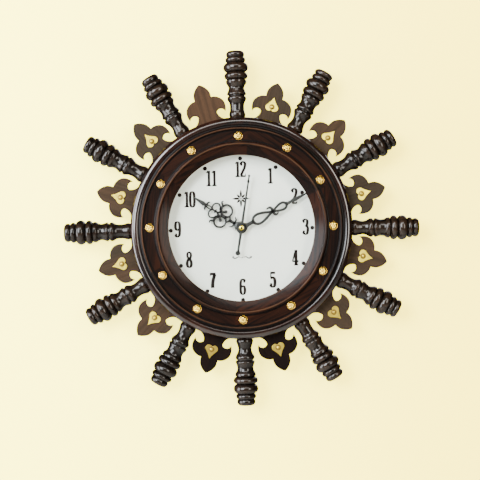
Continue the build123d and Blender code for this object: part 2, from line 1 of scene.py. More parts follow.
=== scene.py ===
from math import atan2, cos, pi, radians, sin, sqrt

import bmesh
import bpy
import numpy as np
from bpy.props import FloatProperty, FloatVectorProperty, IntProperty, PointerProperty
from mathutils import Matrix, Vector

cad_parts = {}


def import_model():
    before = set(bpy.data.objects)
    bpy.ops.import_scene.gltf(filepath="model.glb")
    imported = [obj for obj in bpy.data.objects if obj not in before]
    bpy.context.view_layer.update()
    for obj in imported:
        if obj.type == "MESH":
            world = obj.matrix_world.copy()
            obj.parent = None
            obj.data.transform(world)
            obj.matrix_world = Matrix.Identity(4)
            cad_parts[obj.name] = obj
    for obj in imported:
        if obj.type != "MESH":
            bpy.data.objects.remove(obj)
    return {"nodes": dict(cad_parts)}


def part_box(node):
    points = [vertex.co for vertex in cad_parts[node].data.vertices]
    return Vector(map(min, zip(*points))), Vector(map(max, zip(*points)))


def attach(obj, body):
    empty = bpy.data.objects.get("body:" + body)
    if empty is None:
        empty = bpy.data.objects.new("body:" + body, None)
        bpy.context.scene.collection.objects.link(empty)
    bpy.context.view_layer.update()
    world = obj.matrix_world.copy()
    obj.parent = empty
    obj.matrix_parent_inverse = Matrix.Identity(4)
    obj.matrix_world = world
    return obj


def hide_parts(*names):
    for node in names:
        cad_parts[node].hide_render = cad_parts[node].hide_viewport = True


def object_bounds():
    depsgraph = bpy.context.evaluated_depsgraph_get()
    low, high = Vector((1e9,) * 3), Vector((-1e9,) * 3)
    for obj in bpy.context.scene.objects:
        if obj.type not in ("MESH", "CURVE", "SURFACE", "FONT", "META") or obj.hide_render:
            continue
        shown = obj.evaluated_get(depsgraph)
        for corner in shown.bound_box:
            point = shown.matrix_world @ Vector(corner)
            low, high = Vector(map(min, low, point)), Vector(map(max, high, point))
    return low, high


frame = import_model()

bl_info = {
    "name": "Sunburst Wall Clock",
    "version": (1, 0, 0),
    "blender": (4, 5, 0),
    "location": "View3D > Sidebar > Clock",
    "description": "Builds the visible pieces of a turned wooden wall clock around its frame",
    "category": "Add Mesh",
}

# Shapes are drawn in the dial frame: x right, y up and d out of the wall, in millimetres, with the
# dial's centre on the wall plane as origin. world() turns them into metres, Z up, front to -Y.
MM = 0.001
CAD_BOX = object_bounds()
HOURS = 12
SEGMENTS = 6
BARE_PLATE = 12               # the fretwork plate without a heart
LOW_PLATES_SHADED = (6, 7)          # fretwork plates at the bottom, painted darker as painted shade


def depth(node):
    """Heights of a node's back and front above the wall, in millimetres."""
    low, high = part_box(node)
    return -high.y / MM, -low.y / MM


def half_width(node):
    """Half of a node's size along X, in millimetres."""
    low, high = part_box(node)
    return (high.x - low.x) / 2 / MM


TIP_R = (CAD_BOX[1][0] - CAD_BOX[0][0]) / 2 / MM
ARM_D = sum(depth("spindle_12")) / 2
RING_FRONT = depth("ring_segment_1")[1]
PLATE_D = depth("fleur_12")
HEART_D = depth("heart_plates")
GLASS_D = depth("glass")
DIAL_D = depth("dial")
BOARD_D = depth("dial_board")
DISC_R = half_width("glass")
HOUR_D, MINUTE_D, SECONDS_D = depth("hour_hand"), depth("minute_hand"), depth("seconds_hand")
HAND_T = HOUR_D[1] - HOUR_D[0]
RING_R, LIP_R, SEAT_R, BACK_R = 118.0, 77.2, 83.0, 89.0
FIRST_JOINT = 5.0             # clock angle of the first glue joint
STUD_AT, CHANNEL_D = 97.1, 36.2
HEART_R = 133.5               # where a heart's pin stands
PIN_R, PIN_H = 2.4, 1.5
HANGER_Y = 101.0
HAND_AT = {"hour": 304.0, "minute": 63.0, "seconds": 9.5}    # clock angles at rest


# ------------------------------------------------------------------ shader maths
class Value:
    """A shader socket used as a number in Python expressions: every operator adds one Math node."""

    def __init__(self, shade, socket):
        self.shade, self.socket = shade, socket

    def math(self, operation, first, second=0.0):
        """One Math node on one or two values."""
        return self.shade.add("ShaderNodeMath", {"operation": operation}, {0: first, 1: second})

    def __add__(self, other):
        return self.math("ADD", self, other)

    def __radd__(self, other):
        return self.math("ADD", other, self)

    def __sub__(self, other):
        return self.math("SUBTRACT", self, other)

    def __rsub__(self, other):
        return self.math("SUBTRACT", other, self)

    def __mul__(self, other):
        return self.math("MULTIPLY", self, other)

    def __rmul__(self, other):
        return self.math("MULTIPLY", other, self)

    def __abs__(self):
        return self.math("ABSOLUTE", self)

    def rise(self, low, high):
        """0 below low, 1 above high, and a smooth step between."""
        sockets = {"Value": self, "From Min": low, "From Max": high}
        return self.shade.add("ShaderNodeMapRange", {"interpolation_type": "SMOOTHSTEP"}, sockets)


class Shade:
    """One material and the nodes that it is made of."""

    def __init__(self, name):
        self.material = bpy.data.materials.new(name)
        self.material.use_nodes = True
        self.tree = self.material.node_tree
        self.tree.nodes.clear()

    def add(self, kind, settings=None, sockets=None, out=0):
        """Any node: its type, its settings, the values or links of its sockets, and the output wanted."""
        node = self.tree.nodes.new(kind)
        for key, value in (settings or {}).items():
            setattr(node, key, value)
        for key, value in (sockets or {}).items():
            if isinstance(value, Value):
                self.tree.links.new(value.socket, node.inputs[key])
            else:
                node.inputs[key].default_value = value
        return Value(self, node.outputs[out] if node.outputs else None)

    def place(self):
        """Object coordinates, in metres."""
        return self.add("ShaderNodeTexCoord", out="Object")

    def radius(self):
        """Distance from the dial's axis."""
        across = {0: self.place(), 1: (1.0, 0.0, 1.0)}
        return self.length(self.add("ShaderNodeVectorMath", {"operation": "MULTIPLY"}, across))

    def length(self, vector):
        """How long a vector is."""
        return self.add("ShaderNodeVectorMath", {"operation": "LENGTH"}, {0: vector}, out="Value")

    def grain(self):
        """The piece's own coordinates, with Y along the fibres."""
        return self.add("ShaderNodeAttribute", {"attribute_name": "grain"}, out="Vector")

    def tone(self):
        """The piece's own number from 0 to 1."""
        return self.add("ShaderNodeAttribute", {"attribute_name": "tone"}, out="Fac")

    def noise(self, vector, scale, detail, roughness=0.55, distortion=0.0):
        """Noise on a vector stretched by one scale, or by a scale in each direction."""
        scales = scale if isinstance(scale, tuple) else (scale, scale, scale)
        spread = self.add("ShaderNodeMapping", None, {"Vector": vector, "Scale": scales})
        return self.add("ShaderNodeTexNoise", None, {
            "Vector": spread, "Scale": 1.0, "Detail": detail, "Roughness": roughness,
            "Distortion": distortion})

    def mix(self, factor, first, second):
        """From the first colour to the second."""
        return self.add("ShaderNodeMix", {"data_type": "RGBA"}, {0: factor, 6: first, 7: second}, out=2)

    def bump(self, height, strength, distance):
        """A normal pushed in and out by a height."""
        sockets = {"Height": height, "Strength": strength, "Distance": distance}
        return self.add("ShaderNodeBump", None, sockets)

    def principled(self, **sockets):
        """Ends the material in one Principled shader; underscores in names stand for spaces."""
        named = {key.replace("_", " "): value for key, value in sockets.items()}
        return self.output(self.add("ShaderNodeBsdfPrincipled", None, named))

    def output(self, shader):
        """Sends a shader to the material's output and returns the material."""
        self.add("ShaderNodeOutputMaterial", None, {"Surface": shader})
        return self.material


def colour(values):
    """Three numbers as an opaque colour."""
    return (*values[:3], 1.0)


def scaled(values, k):
    """A colour made darker or lighter."""
    return (values[0] * k, values[1] * k, values[2] * k, 1.0)


made = {}                     # every material by its name


def material(name, maker, *args, **kwargs):
    """Makes a material once and hands out the same one afterwards."""
    if name not in made:
        made[name] = maker(Shade(name), *args, **kwargs)
    return made[name]


def wood(shade, base, red, gloss, coat, relief, figure=1.0, crests=(), hollows=(), rim=None):
    """Streaked hardwood: broad colour drift, darker growth streaks and fine pores along the fibres.
    At the first list of radii from the dial's axis the wood is lightened: partly stain rubbed thin by
    handling, partly a painted highlight along the top of each bead. At the second list it is painted
    almost black as painted shade in the grooves beside the beads. Rim is a radius inside which little
    of the lacquer is left."""
    grain, tone = shade.grain(), shade.tone()
    drift = shade.noise(grain, (38.0, 4.0, 38.0), 2.0)
    streaks = shade.noise(grain, (330.0, 11.0, 330.0), 5.0, 0.6, 0.6)
    pores = shade.noise(grain, (2600.0, 110.0, 2600.0), 3.0, 0.6)
    warm = shade.mix((drift * 1.1 + tone * 0.9 - 0.55).rise(0.1, 0.9), base, red)
    dark = shade.mix(streaks.rise(0.42, 0.66) * figure, warm, scaled(base, 0.35))
    full = shade.mix(pores.rise(0.56, 0.74) * 0.6, dark, scaled(base, 0.25))
    if rim:
        coat = shade.radius().rise(rim * MM - 0.002, rim * MM + 0.002) * coat * 0.92 + coat * 0.08
    worn = (red[0] * 3.0, red[1] * 5.0, red[2] * 6.0, 1.0)    # wood under thin stain, and painted highlight on the top of each bead
    # Painted highlight mixed with rubbed stain: each bead's top is lightened towards worn wood.
    for radius, width in crests:
        near = abs(shade.radius() - radius * MM)
        full = shade.mix((0.6 - near.rise(0.0, width * MM) * 0.6) * drift.rise(0.2, 0.6), full, worn)
    # Painted shade: the grooves beside the beads are darkened almost to black.
    for radius, width in hollows:
        near = abs(shade.radius() - radius * MM)
        full = shade.mix(0.9 - near.rise(width * MM * 0.4, width * MM) * 0.9, full, scaled(base, 0.1))
    height = streaks * 0.35 + pores * 0.3 + shade.noise(grain, (70.0, 30.0, 70.0), 2.0) * 0.5
    return shade.principled(
        Base_Color=full, Roughness=pores * 0.12 + streaks * 0.10 + gloss, Coat_Weight=coat,
        Coat_Roughness=0.14, Specular_IOR_Level=0.035, Normal=shade.bump(height, relief, 0.0005))


def brass_finish(shade, base, rough, relief, tarnish_and_shade=0.0):
    """Pressed brass: thin tarnished clouds, fine scratches and soft dents. The last argument darkens a
    ring round the pin that goes through the piece: partly tarnished brass at the pin's foot, partly
    painted shade there and on the sides of the pin's dome."""
    place = shade.place()
    clouds = shade.noise(place, 160.0, 4.0)
    scratch = shade.noise(place, (900.0, 900.0, 140.0), 3.0)
    tint = shade.mix(clouds.rise(0.38, 0.72), base, scaled(base, 0.62))
    # Painted shade and tarnished brass: a dark ring round each pin; tone darkens the lower hearts.
    if tarnish_and_shade:
        away = shade.length(shade.grain())
        ring = (1.0 - away.rise(0.0027, 0.0033)) * away.rise(0.0012, 0.0021)
        brown = (base[0] * 0.15, base[1] * 0.11, base[2] * 0.4, 1.0)
        tint = shade.mix(ring * tarnish_and_shade, shade.mix(shade.tone(), brown, tint), brown)
    height = clouds * 0.6 + scratch * 0.2
    return shade.principled(
        Base_Color=tint, Metallic=1.0, Roughness=clouds * 0.10 + scratch * 0.06 + rough,
        Normal=shade.bump(height, relief, 0.0004))


def metal_finish(shade, base, rough):
    """Plated or drawn metal with faint cloudy wear."""
    place = shade.place()
    clouds = shade.noise(place, 420.0, 4.0)
    tint = shade.mix(clouds.rise(0.35, 0.7), base, scaled(base, 0.7))
    return shade.principled(
        Base_Color=tint, Metallic=1.0, Roughness=clouds * 0.2 + rough,
        Normal=shade.bump(clouds, 0.12, 0.0002))


def moulded(shade, base, rough, grainy=0.25, size=2400.0):
    """Moulded plastic or rubber: an even colour with a spark-eroded texture and handling marks."""
    place = shade.place()
    fine = shade.noise(place, size, 2.0)
    marks = shade.noise(place, 60.0, 3.0)
    tint = shade.mix(marks.rise(0.4, 0.75) * 0.35, base, scaled(base, 1.5))
    return shade.principled(
        Base_Color=tint, Roughness=marks * 0.15 + fine * 0.1 + rough,
        Normal=shade.bump(fine, grainy, 0.0002))


def card_finish(shade, base):
    """Smooth printed card with hardly visible mottling."""
    place = shade.place()
    mottle = shade.noise(place, 45.0, 3.0)
    tooth = shade.noise(place, 1800.0, 2.0)
    tint = shade.mix(mottle.rise(0.3, 0.8), base, scaled(base, 0.95))
    return shade.principled(
        Base_Color=tint, Roughness=tooth * 0.1 + 0.42, Normal=shade.bump(tooth, 0.04, 0.0001))


def ink_finish(shade, base):
    """Printing ink, a little thinner in places."""
    thin = shade.noise(shade.place(), 320.0, 4.0)
    tint = shade.mix(thin.rise(0.45, 0.8), base, scaled(base, 2.6))
    return shade.principled(Base_Color=tint, Roughness=thin * 0.2 + 0.4, Specular_IOR_Level=0.1)


def hardboard_finish(shade, base):
    """Pressed wood fibre with the print of the wire screen."""
    place = shade.place()
    fibre = shade.noise(place, (900.0, 900.0, 300.0), 5.0, 0.7)
    screen = {"Vector": place, "Scale": 180.0, "Distortion": 0.6}
    wires = shade.add("ShaderNodeTexWave", {"bands_direction": "X"}, screen)
    cross = shade.add("ShaderNodeTexWave", {"bands_direction": "Z"}, screen)
    tint = shade.mix(fibre.rise(0.35, 0.7), base, scaled(base, 0.45))
    return shade.principled(
        Base_Color=tint, Roughness=fibre * 0.2 + 0.7,
        Normal=shade.bump(wires * 0.5 + cross * 0.5 + fibre * 0.7, 0.5, 0.0004))


def cell_finish(shade, base, band):
    """A plain printed jacket with a coloured band towards the positive end, from X = 12 mm on."""
    place = shade.place()
    along = shade.add("ShaderNodeSeparateXYZ", None, {"Vector": place}, out="X")
    wear = shade.noise(place, 300.0, 4.0)
    tint = shade.mix(along.rise(0.0118, 0.0122), base, band)
    worn = shade.mix(wear.rise(0.55, 0.8) * 0.25, tint, (0.5, 0.5, 0.5, 1.0))
    return shade.principled(Base_Color=worn, Roughness=wear * 0.15 + 0.22, Coat_Weight=0.4)


def laminate_finish(shade, base):
    """Lacquered circuit laminate with faint copper tracks."""
    place = shade.place()
    tracks = shade.add("ShaderNodeTexBrick", None, {
        "Vector": place, "Scale": 160.0, "Color1": colour(base), "Color2": scaled(base, 0.7),
        "Mortar": (0.35, 0.45, 0.12, 1.0), "Mortar Size": 0.06})
    speck = shade.noise(place, 500.0, 3.0)
    return shade.principled(Base_Color=tracks, Roughness=speck * 0.2 + 0.3)


def winding_finish(shade, base):
    """Enamelled wire wound in fine turns."""
    place = shade.place()
    turns = shade.add("ShaderNodeTexWave", {"bands_direction": "Z"}, {"Vector": place, "Scale": 1400.0})
    tint = shade.mix(turns, base, scaled(base, 0.4))
    return shade.principled(
        Base_Color=tint, Metallic=0.8, Roughness=turns * 0.1 + 0.3, Normal=shade.bump(turns, 0.5, 0.0002))


def glass_finish(shade, base):
    """Clear window glass: light passes straight through and the surface reflects by its angle."""
    sheen = shade.add("ShaderNodeFresnel", None, {"IOR": 1.5})
    clear = shade.add("ShaderNodeBsdfTransparent", None, {"Color": base})
    smear = shade.noise(shade.place(), 25.0, 3.0)
    shine = shade.add("ShaderNodeBsdfPrincipled", None, {
        "Base Color": (0.9, 0.92, 0.92, 1.0), "Metallic": 1.0, "Roughness": smear * 0.05 + 0.02})
    return shade.output(shade.add("ShaderNodeMixShader", None, {0: sheen * 0.7, 1: clear, 2: shine}))


def wall_finish(shade, base, glow):
    """Smooth painted plaster in strong daylight, seen from the front and clear from behind. Its glow
    stands in for the daylight on it, and its colour and glow are painted darker and yellower towards
    the right as painted shade.
    """
    place = shade.place()
    trowel = shade.noise(place, 3.0, 3.0)
    tooth = shade.noise(place, 700.0, 3.0)
    away = shade.add("ShaderNodeSeparateXYZ", None, {"Vector": place}, out="X")
    # Painted shade: darker and yellower towards the right.
    side = shade.mix(away.rise(-0.30, 0.34), base, (base[0] * 0.82, base[1] * 0.73, base[2] * 0.45, 1.0))
    tint = shade.mix(trowel.rise(0.3, 0.75) * 0.15, side, scaled(base, 0.7))
    paint = shade.add("ShaderNodeBsdfPrincipled", None, {
        "Base Color": tint, "Roughness": 0.75, "Emission Color": tint, "Emission Strength": glow,
        "Normal": shade.bump(tooth, 0.05, 0.0003)})
    clear = shade.add("ShaderNodeBsdfTransparent")
    behind = shade.add("ShaderNodeNewGeometry", out="Backfacing")
    return shade.output(shade.add("ShaderNodeMixShader", None, {0: behind, 1: paint, 2: clear}))


# ------------------------------------------------------------------ curves and grids
def world(points):
    """Dial millimetres to metres: (x, y, d) becomes (x, -d, y)."""
    points = np.asarray(points, float)
    return np.stack([points[..., 0], -points[..., 2], points[..., 1]], -1) * MM


def turned(points, clock):
    """Turns points that stand at twelve o'clock clockwise to a clock angle."""
    c, s = cos(radians(clock)), sin(radians(clock))
    x, y = points[..., 0], points[..., 1]
    return np.stack([x * c + y * s, y * c - x * s, *np.moveaxis(points[..., 2:], -1, 0)], -1)


def arc(start, through, end, count):
    """Points on the circle through three points, the last one left out."""
    (ax, ay), (bx, by), (cx, cy) = start, through, end
    d = 2 * (ax * (by - cy) + bx * (cy - ay) + cx * (ay - by))
    a2, b2, c2 = ax * ax + ay * ay, bx * bx + by * by, cx * cx + cy * cy
    ux = (a2 * (by - cy) + b2 * (cy - ay) + c2 * (ay - by)) / d
    uy = (a2 * (cx - bx) + b2 * (ax - cx) + c2 * (bx - ax)) / d
    t0, t1, t2 = (atan2(y - uy, x - ux) for x, y in (start, through, end))
    sweep = (t2 - t0) % (2 * pi)
    if (t1 - t0) % (2 * pi) > sweep:
        sweep -= 2 * pi
    t = t0 + sweep * np.arange(count) / count
    r = sqrt((ax - ux) ** 2 + (ay - uy) ** 2)
    return np.stack([ux + r * np.cos(t), uy + r * np.sin(t)], -1)


def join(*parts):
    """One outline from arcs and single corners."""
    return np.concatenate([np.asarray(part, float).reshape(-1, 2) for part in parts])


def flowing(points, per, closed=False):
    """A smooth curve through points, with this many steps from one to the next: the cubic whose
    slopes are half the difference of the neighbours. Columns past the second are carried along."""
    p = np.asarray(points, float)
    if closed:
        p = np.concatenate([p[-1:], p, p[:2]])
    else:
        p = np.concatenate([2 * p[:1] - p[1:2], p, 2 * p[-1:] - p[-2:-1]])
    t = (np.arange(per) / per)[None, :, None]
    a, b, c, d = (p[i:len(p) - 3 + i][:, None] for i in range(4))
    curve = 0.5 * (2 * b + (c - a) * t + (2 * a - 5 * b + 4 * c - d) * t ** 2
                   + (3 * b - a - 3 * c + d) * t ** 3)
    curve = curve.reshape(-1, p.shape[1])
    return curve if closed else np.concatenate([curve, p[-2:-1]])


def outward(outline):
    """At each corner of a closed outline the step that moves both of its sides out by one."""
    side = np.roll(outline, -1, 0) - outline
    side /= np.linalg.norm(side, axis=1, keepdims=True)
    x, y = outline.T
    turn = 1 if np.sum(x * np.roll(y, -1) - y * np.roll(x, -1)) > 0 else -1
    normal = np.stack([side[:, 1], -side[:, 0]], -1) * turn
    both = normal + np.roll(normal, 1, 0)
    both /= np.linalg.norm(both, axis=1, keepdims=True)
    return both / np.maximum(np.sum(both * normal, axis=1, keepdims=True), 0.5)


def lathe(profile, steps=128):
    """A profile of (radius, height) carried round: (r cos t, r sin t, h)."""
    t = 2 * pi * np.arange(steps) / steps
    r, h = np.asarray(profile, float).T
    return np.stack([r[:, None] * np.cos(t), r[:, None] * np.sin(t), h[:, None] + 0 * t], -1)


def smooth(profile, reach):
    """A profile's radii averaged over this reach along its axis."""
    near = np.abs(profile[:, 1] - profile[:, 1:]) < reach
    return (near * profile[:, 0]).sum(1) / near.sum(1)


def section(width, back, front, edge):
    """Across a ribbon, a rectangle with its front corners broken: offsets from the middle line and
    heights."""
    h = width / 2
    bevel = edge * 0.3
    offsets = np.stack([-h, -h, -h + bevel, -h + edge, h - edge, h - bevel, h, h], -1)
    heights = np.array([back, front - edge, front - bevel, front, front, front - bevel, front - edge, back])
    return offsets, heights


def steps_along(path, closed):
    """At each point of a path the step from the point before it to the point after it."""
    if closed:
        return np.roll(path, -1, 0) - np.roll(path, 1, 0)
    return np.gradient(path, axis=0)


def ribbon(path, widths, back, front, edge, closed=False):
    """A flat bar along a path with a width at each point. Its section is carried at right angles to
    the path: point + normal * offset."""
    path, widths = np.asarray(path, float), np.asarray(widths, float)
    along = steps_along(path, closed)
    along /= np.linalg.norm(along, axis=1, keepdims=True)
    normal = np.stack([-along[:, 1], along[:, 0]], -1)
    offsets, heights = section(widths, back, front, edge)
    flat = path[:, None] + normal[:, None] * offsets[..., None]
    return np.concatenate([flat, np.broadcast_to(heights[:, None], (*offsets.shape, 1))], -1)


class Surface:
    """Collects grids and faces in dial millimetres and turns them into one mesh piece."""

    def __init__(self):
        self.points, self.faces, self.slots, self.count = [], [], [], 0

    def add(self, points):
        """Adds points and returns the index of the first."""
        first = self.count
        self.points.append(points.reshape(-1, 3))
        self.count += len(self.points[-1])
        return first

    def grid(self, points, rows=False, columns=False, slot=0):
        """Quads between the rows and columns of a grid, closed in either direction on request."""
        n, m = points.shape[:2]
        index = np.arange(n * m).reshape(n, m) + self.add(points)
        if rows:
            index = np.concatenate([index, index[:1]])
        if columns:
            index = np.concatenate([index, index[:, :1]], 1)
        quads = np.stack([index[:-1, :-1], index[:-1, 1:], index[1:, 1:], index[1:, :-1]], -1).reshape(-1, 4)
        self.faces += quads.tolist()
        self.slots += [slot] * len(quads)
        return self

    def face(self, points, slot=0):
        """One flat face."""
        first = self.add(points)
        self.faces.append(list(range(first, first + len(points))))
        self.slots.append(slot)
        return self

    def include(self, other, points):
        """Takes in the faces of another surface, whose points have moved to these."""
        self.faces += [[self.count + i for i in face] for face in other.faces]
        self.slots += other.slots
        self.add(points)

    def strip(self, grid):
        """A ribbon's grid with its two ends closed."""
        return self.grid(grid, columns=True).face(grid[0]).face(grid[-1])

    def prism(self, outline, back, front):
        """An outline of (x, y) points between two heights."""
        flat = np.asarray(outline, float)
        low, high = (np.column_stack([flat, np.full(len(flat), d)]) for d in (back, front))
        return self.grid(np.stack([low, high]), columns=True).face(low).face(high)

    def plate(self, outline, back, front, edge):
        """A flat plate with its front edge rounded: each step of the quarter circle is the outline
        moved inwards by edge * (1 - cos a) at the height front - edge * (1 - sin a). A last narrow
        step on the flat keeps the shading of the edge off the face."""
        a = np.radians(np.linspace(0, 90, 5))
        steps = np.concatenate([[0.0], edge * (1 - np.cos(a)), [edge * 1.15]])
        heights = np.concatenate([[back], front - edge * (1 - np.sin(a)), [front]])
        out = outward(outline)
        loops = np.stack([np.column_stack([outline - out * step, np.full(len(outline), height)])
                          for step, height in zip(steps, heights)])
        return self.grid(loops, columns=True).face(loops[0]).face(loops[-1])

    def disc(self, x, y, r, back, front, edge, steps=32):
        """A round plate with its front edge broken."""
        bevel = edge * 0.3
        profile = [(0, back), (r, back), (r, front - edge), (r - bevel, front - bevel), (r - edge, front),
                   (0, front)]
        return self.grid(lathe(profile, steps) + (x, y, 0), columns=True)

    def tube(self, loop):
        """A closed loop of (radius, height) carried round."""
        return self.grid(lathe(loop), rows=True, columns=True)

    def build(self, name, materials, body, slot, replaces=(), clock=0.0, grain=None, tone=0.5, crease=35.0):
        """Makes the piece: merges doubles, turns faces outwards, and hangs it on its body. grain is a
        function from points to coordinates whose Y runs along the fibres. tone is one number for the
        piece or one for each point."""
        points = np.concatenate(self.points)
        mesh = bpy.data.meshes.new(name)
        mesh.from_pydata(world(turned(points, clock)).tolist(), [], self.faces)
        mesh.polygons.foreach_set("material_index", np.array(self.slots, np.int32))
        if grain is not None:
            layer = mesh.attributes.new("grain", "FLOAT_VECTOR", "POINT")
            layer.data.foreach_set("vector", (grain(points) * MM).astype(np.float32).ravel())
            layer = mesh.attributes.new("tone", "FLOAT", "POINT")
            layer.data.foreach_set("value", (np.zeros(len(points)) + tone).astype(np.float32))
        tidy(mesh)
        return settle(mesh, name, materials, body, replaces, crease)


SAME_POINT = 2e-6             # points closer than this, in metres, are merged


def tidy(mesh):
    """Merges points that lie together and turns all faces outwards."""
    work = bmesh.new()
    work.from_mesh(mesh)
    bmesh.ops.remove_doubles(work, verts=work.verts, dist=SAME_POINT)
    bmesh.ops.recalc_face_normals(work, faces=work.faces)
    work.to_mesh(mesh)
    work.free()


def settle(mesh, name, materials, body, replaces, crease=35.0, bevel=None):
    """Puts a finished mesh in the scene as a piece that rides on a body."""
    for one in materials:
        mesh.materials.append(one)
    mesh.shade_smooth()
    piece = bpy.data.objects.new(name, mesh)
    bpy.context.scene.collection.objects.link(piece)
    if bevel:
        edge = piece.modifiers.new("edge", "BEVEL")
        edge.width, edge.segments, edge.limit_method = bevel * MM, 3, "ANGLE"
        edge.angle_limit, edge.harden_normals = radians(50.0), True
    else:
        mesh.set_sharp_from_angle(angle=radians(crease))
    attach(piece, body)
    if replaces:
        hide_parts(*replaces)
    return piece


def straight_grain(seed):
    """Fibres along y, each piece cut from its own place in the plank."""
    shift = np.random.default_rng(seed).uniform(-400, 400, 3)
    return lambda points: points + shift


def refined(node, materials, body, bevel):
    """A copy of a CAD node, merged, freed of flat inner edges and with its corners broken."""
    mesh = frame["nodes"][node].data.copy()
    mesh.materials.clear()
    work = bmesh.new()
    work.from_mesh(mesh)
    bmesh.ops.remove_doubles(work, verts=work.verts, dist=SAME_POINT)
    bmesh.ops.dissolve_limit(work, angle_limit=radians(1.0), verts=work.verts, edges=work.edges)
    work.to_mesh(mesh)
    work.free()
    return settle(mesh, node + "_finished", materials, body, [node], bevel=bevel)


def paint(node, finish):
    """Gives a CAD node a finish."""
    piece = frame["nodes"][node]
    if not piece.material_slots:
        piece.data.materials.append(finish)
    for one in piece.material_slots:
        one.material = finish


# ------------------------------------------------------------------ settings
def measure(name, description, default, low, high):
    """A number that a user may change between two limits."""
    return FloatProperty(name=name, description=description, default=default, min=low, max=high)


def distance(name, description, default):
    """A length of the stage, in metres."""
    return FloatProperty(
        name=name, description=description, default=default, unit="LENGTH", subtype="DISTANCE")


def pigment(name, description, *default):
    """A colour that a user may change."""
    return FloatVectorProperty(name=name, description=description, default=default, subtype="COLOR")


class ClockSizes(bpy.types.PropertyGroup):
    """Sizes that a user may change."""
    lathe_steps: IntProperty(
        name="Lathe steps", description="Faces round a spindle", default=72, min=24, max=256)
    turning_drift: measure(
        "Turning drift", "How much hand-turned spindles differ, in millimetres", 0.35, 0.0, 1.0)
    plate_edge: measure("Plate edge", "Rounding of the fretwork's edges, in millimetres", 0.35, 0.1, 2.0)
    print_height: measure("Ink height", "Thickness of the printing ink, in millimetres", 0.03, 0.01, 0.1)
    numeral_height: measure("Numeral height", "Height of the numerals, in millimetres", 16.6, 8.0, 20.0)
    hand_weight: measure(
        "Hand weight", "Width of the hands' strokes against their plain width", 1.5, 0.5, 1.6)
    view_distance: distance("View distance", "Camera to wall", 1.2316)
    wall_glow: measure("Wall glow", "Extra brightness of the sunlit wall", 4.9, 0.0, 10.0)
    view_width: distance("View width", "Width that the camera takes in at the spindles", 0.5148)


class ClockColours(bpy.types.PropertyGroup):
    """Colours that a user may change."""
    ring_wood: pigment("Ring", "Ground colour of the ring", 0.0021, 0.0009, 0.0006)
    ring_red: pigment("Ring, warm", "Redder wood of the ring", 0.0180, 0.0050, 0.0018)
    spindle_wood: pigment("Spindles", "Ground colour of the spindles", 0.0042, 0.0027, 0.0019)
    spindle_red: pigment("Spindles, warm", "Redder wood of the spindles", 0.012, 0.0062, 0.0032)
    plate_wood: pigment("Fretwork", "Ground colour of the fretwork", 0.0178, 0.0130, 0.0084)
    plate_red: pigment("Fretwork, warm", "Redder wood of the fretwork", 0.031, 0.0165, 0.0088)
    brass: pigment("Brass", "Colour of hearts, pins and studs", 0.98, 0.79, 0.06)
    card: pigment("Dial", "Colour of the dial card", 0.82, 0.82, 0.755)
    ink: pigment("Ink", "Colour of the printing", 0.008, 0.004, 0.0035)
    enamel: pigment("Hands", "Colour of the hands", 0.006, 0.005, 0.0045)
    wall: pigment("Wall", "Colour of the wall", 0.88, 0.79, 0.10)


def sizes():
    return bpy.context.scene.clock_sizes


def tints():
    return bpy.context.scene.clock_colours


def ring_wood():
    c = tints()
    return material(
        "ring_wood", wood, colour(c.ring_wood), colour(c.ring_red), 0.36, 0.80, 0.08,
        # Painted highlight and rubbed stain on the beads' tops.
        crests=((105.4, 0.8), (88.8, 0.9), (LIP_R + 0.2, 0.5)),
        # Painted shade in the grooves beside the beads.
        hollows=((92.3, 1.3), (103.3, 1.2), (108.4, 1.8)), rim=110.4)


def raw_wood():
    c = tints()
    return material("ring_wood_back", wood, scaled(c.ring_red, 1.3), scaled(c.ring_red, 2.4), 0.62, 0.0, 0.5)


def spindle_wood():
    c = tints()
    return material("spindle_wood", wood, colour(c.spindle_wood), colour(c.spindle_red), 0.30, 0.36, 0.09)


def plate_wood(dark=False):
    c = tints()
    # Painted shade: the plates at the bottom get a darker copy of the fretwork wood.
    if dark:
        base, red = scaled(c.ring_wood, 1.2), scaled(c.ring_red, 0.6)
        return material("fretwork_wood_painted_shade", wood, base, red, 0.5, 0.0, 0.2, 0.6)
    return material("fretwork_wood", wood, colour(c.plate_wood), colour(c.plate_red), 0.50, 0.0, 0.25, 0.4)


def brass():
    c = tints().brass
    return material("brass", brass_finish, (c[0] * 0.95, c[1] * 0.85, c[2], 1.0), 0.10, 0.10)


def stud_brass():
    c = tints().brass
    return material("stud_brass", brass_finish, (c[0], c[1] * 0.86, c[2], 1.0), 0.08, 0.12, 0.92)


def sheet_brass():
    return material("sheet_brass", brass_finish, colour(tints().brass), 0.36, 0.35, 0.92)


def card():
    return material("dial_card", card_finish, colour(tints().card))


def ink():
    return material("ink", ink_finish, colour(tints().ink))


def enamel():
    return material("hand_enamel", moulded, colour(tints().enamel), 0.30, 0.05)


def steel():
    return material("zinc_steel", metal_finish, (0.62, 0.62, 0.60, 1.0), 0.28)


def black_plastic():
    return material("black_plastic", moulded, (0.013, 0.013, 0.014, 1.0), 0.42)


def white_plastic():
    return material("white_plastic", moulded, (0.62, 0.61, 0.57, 1.0), 0.35, 0.08)


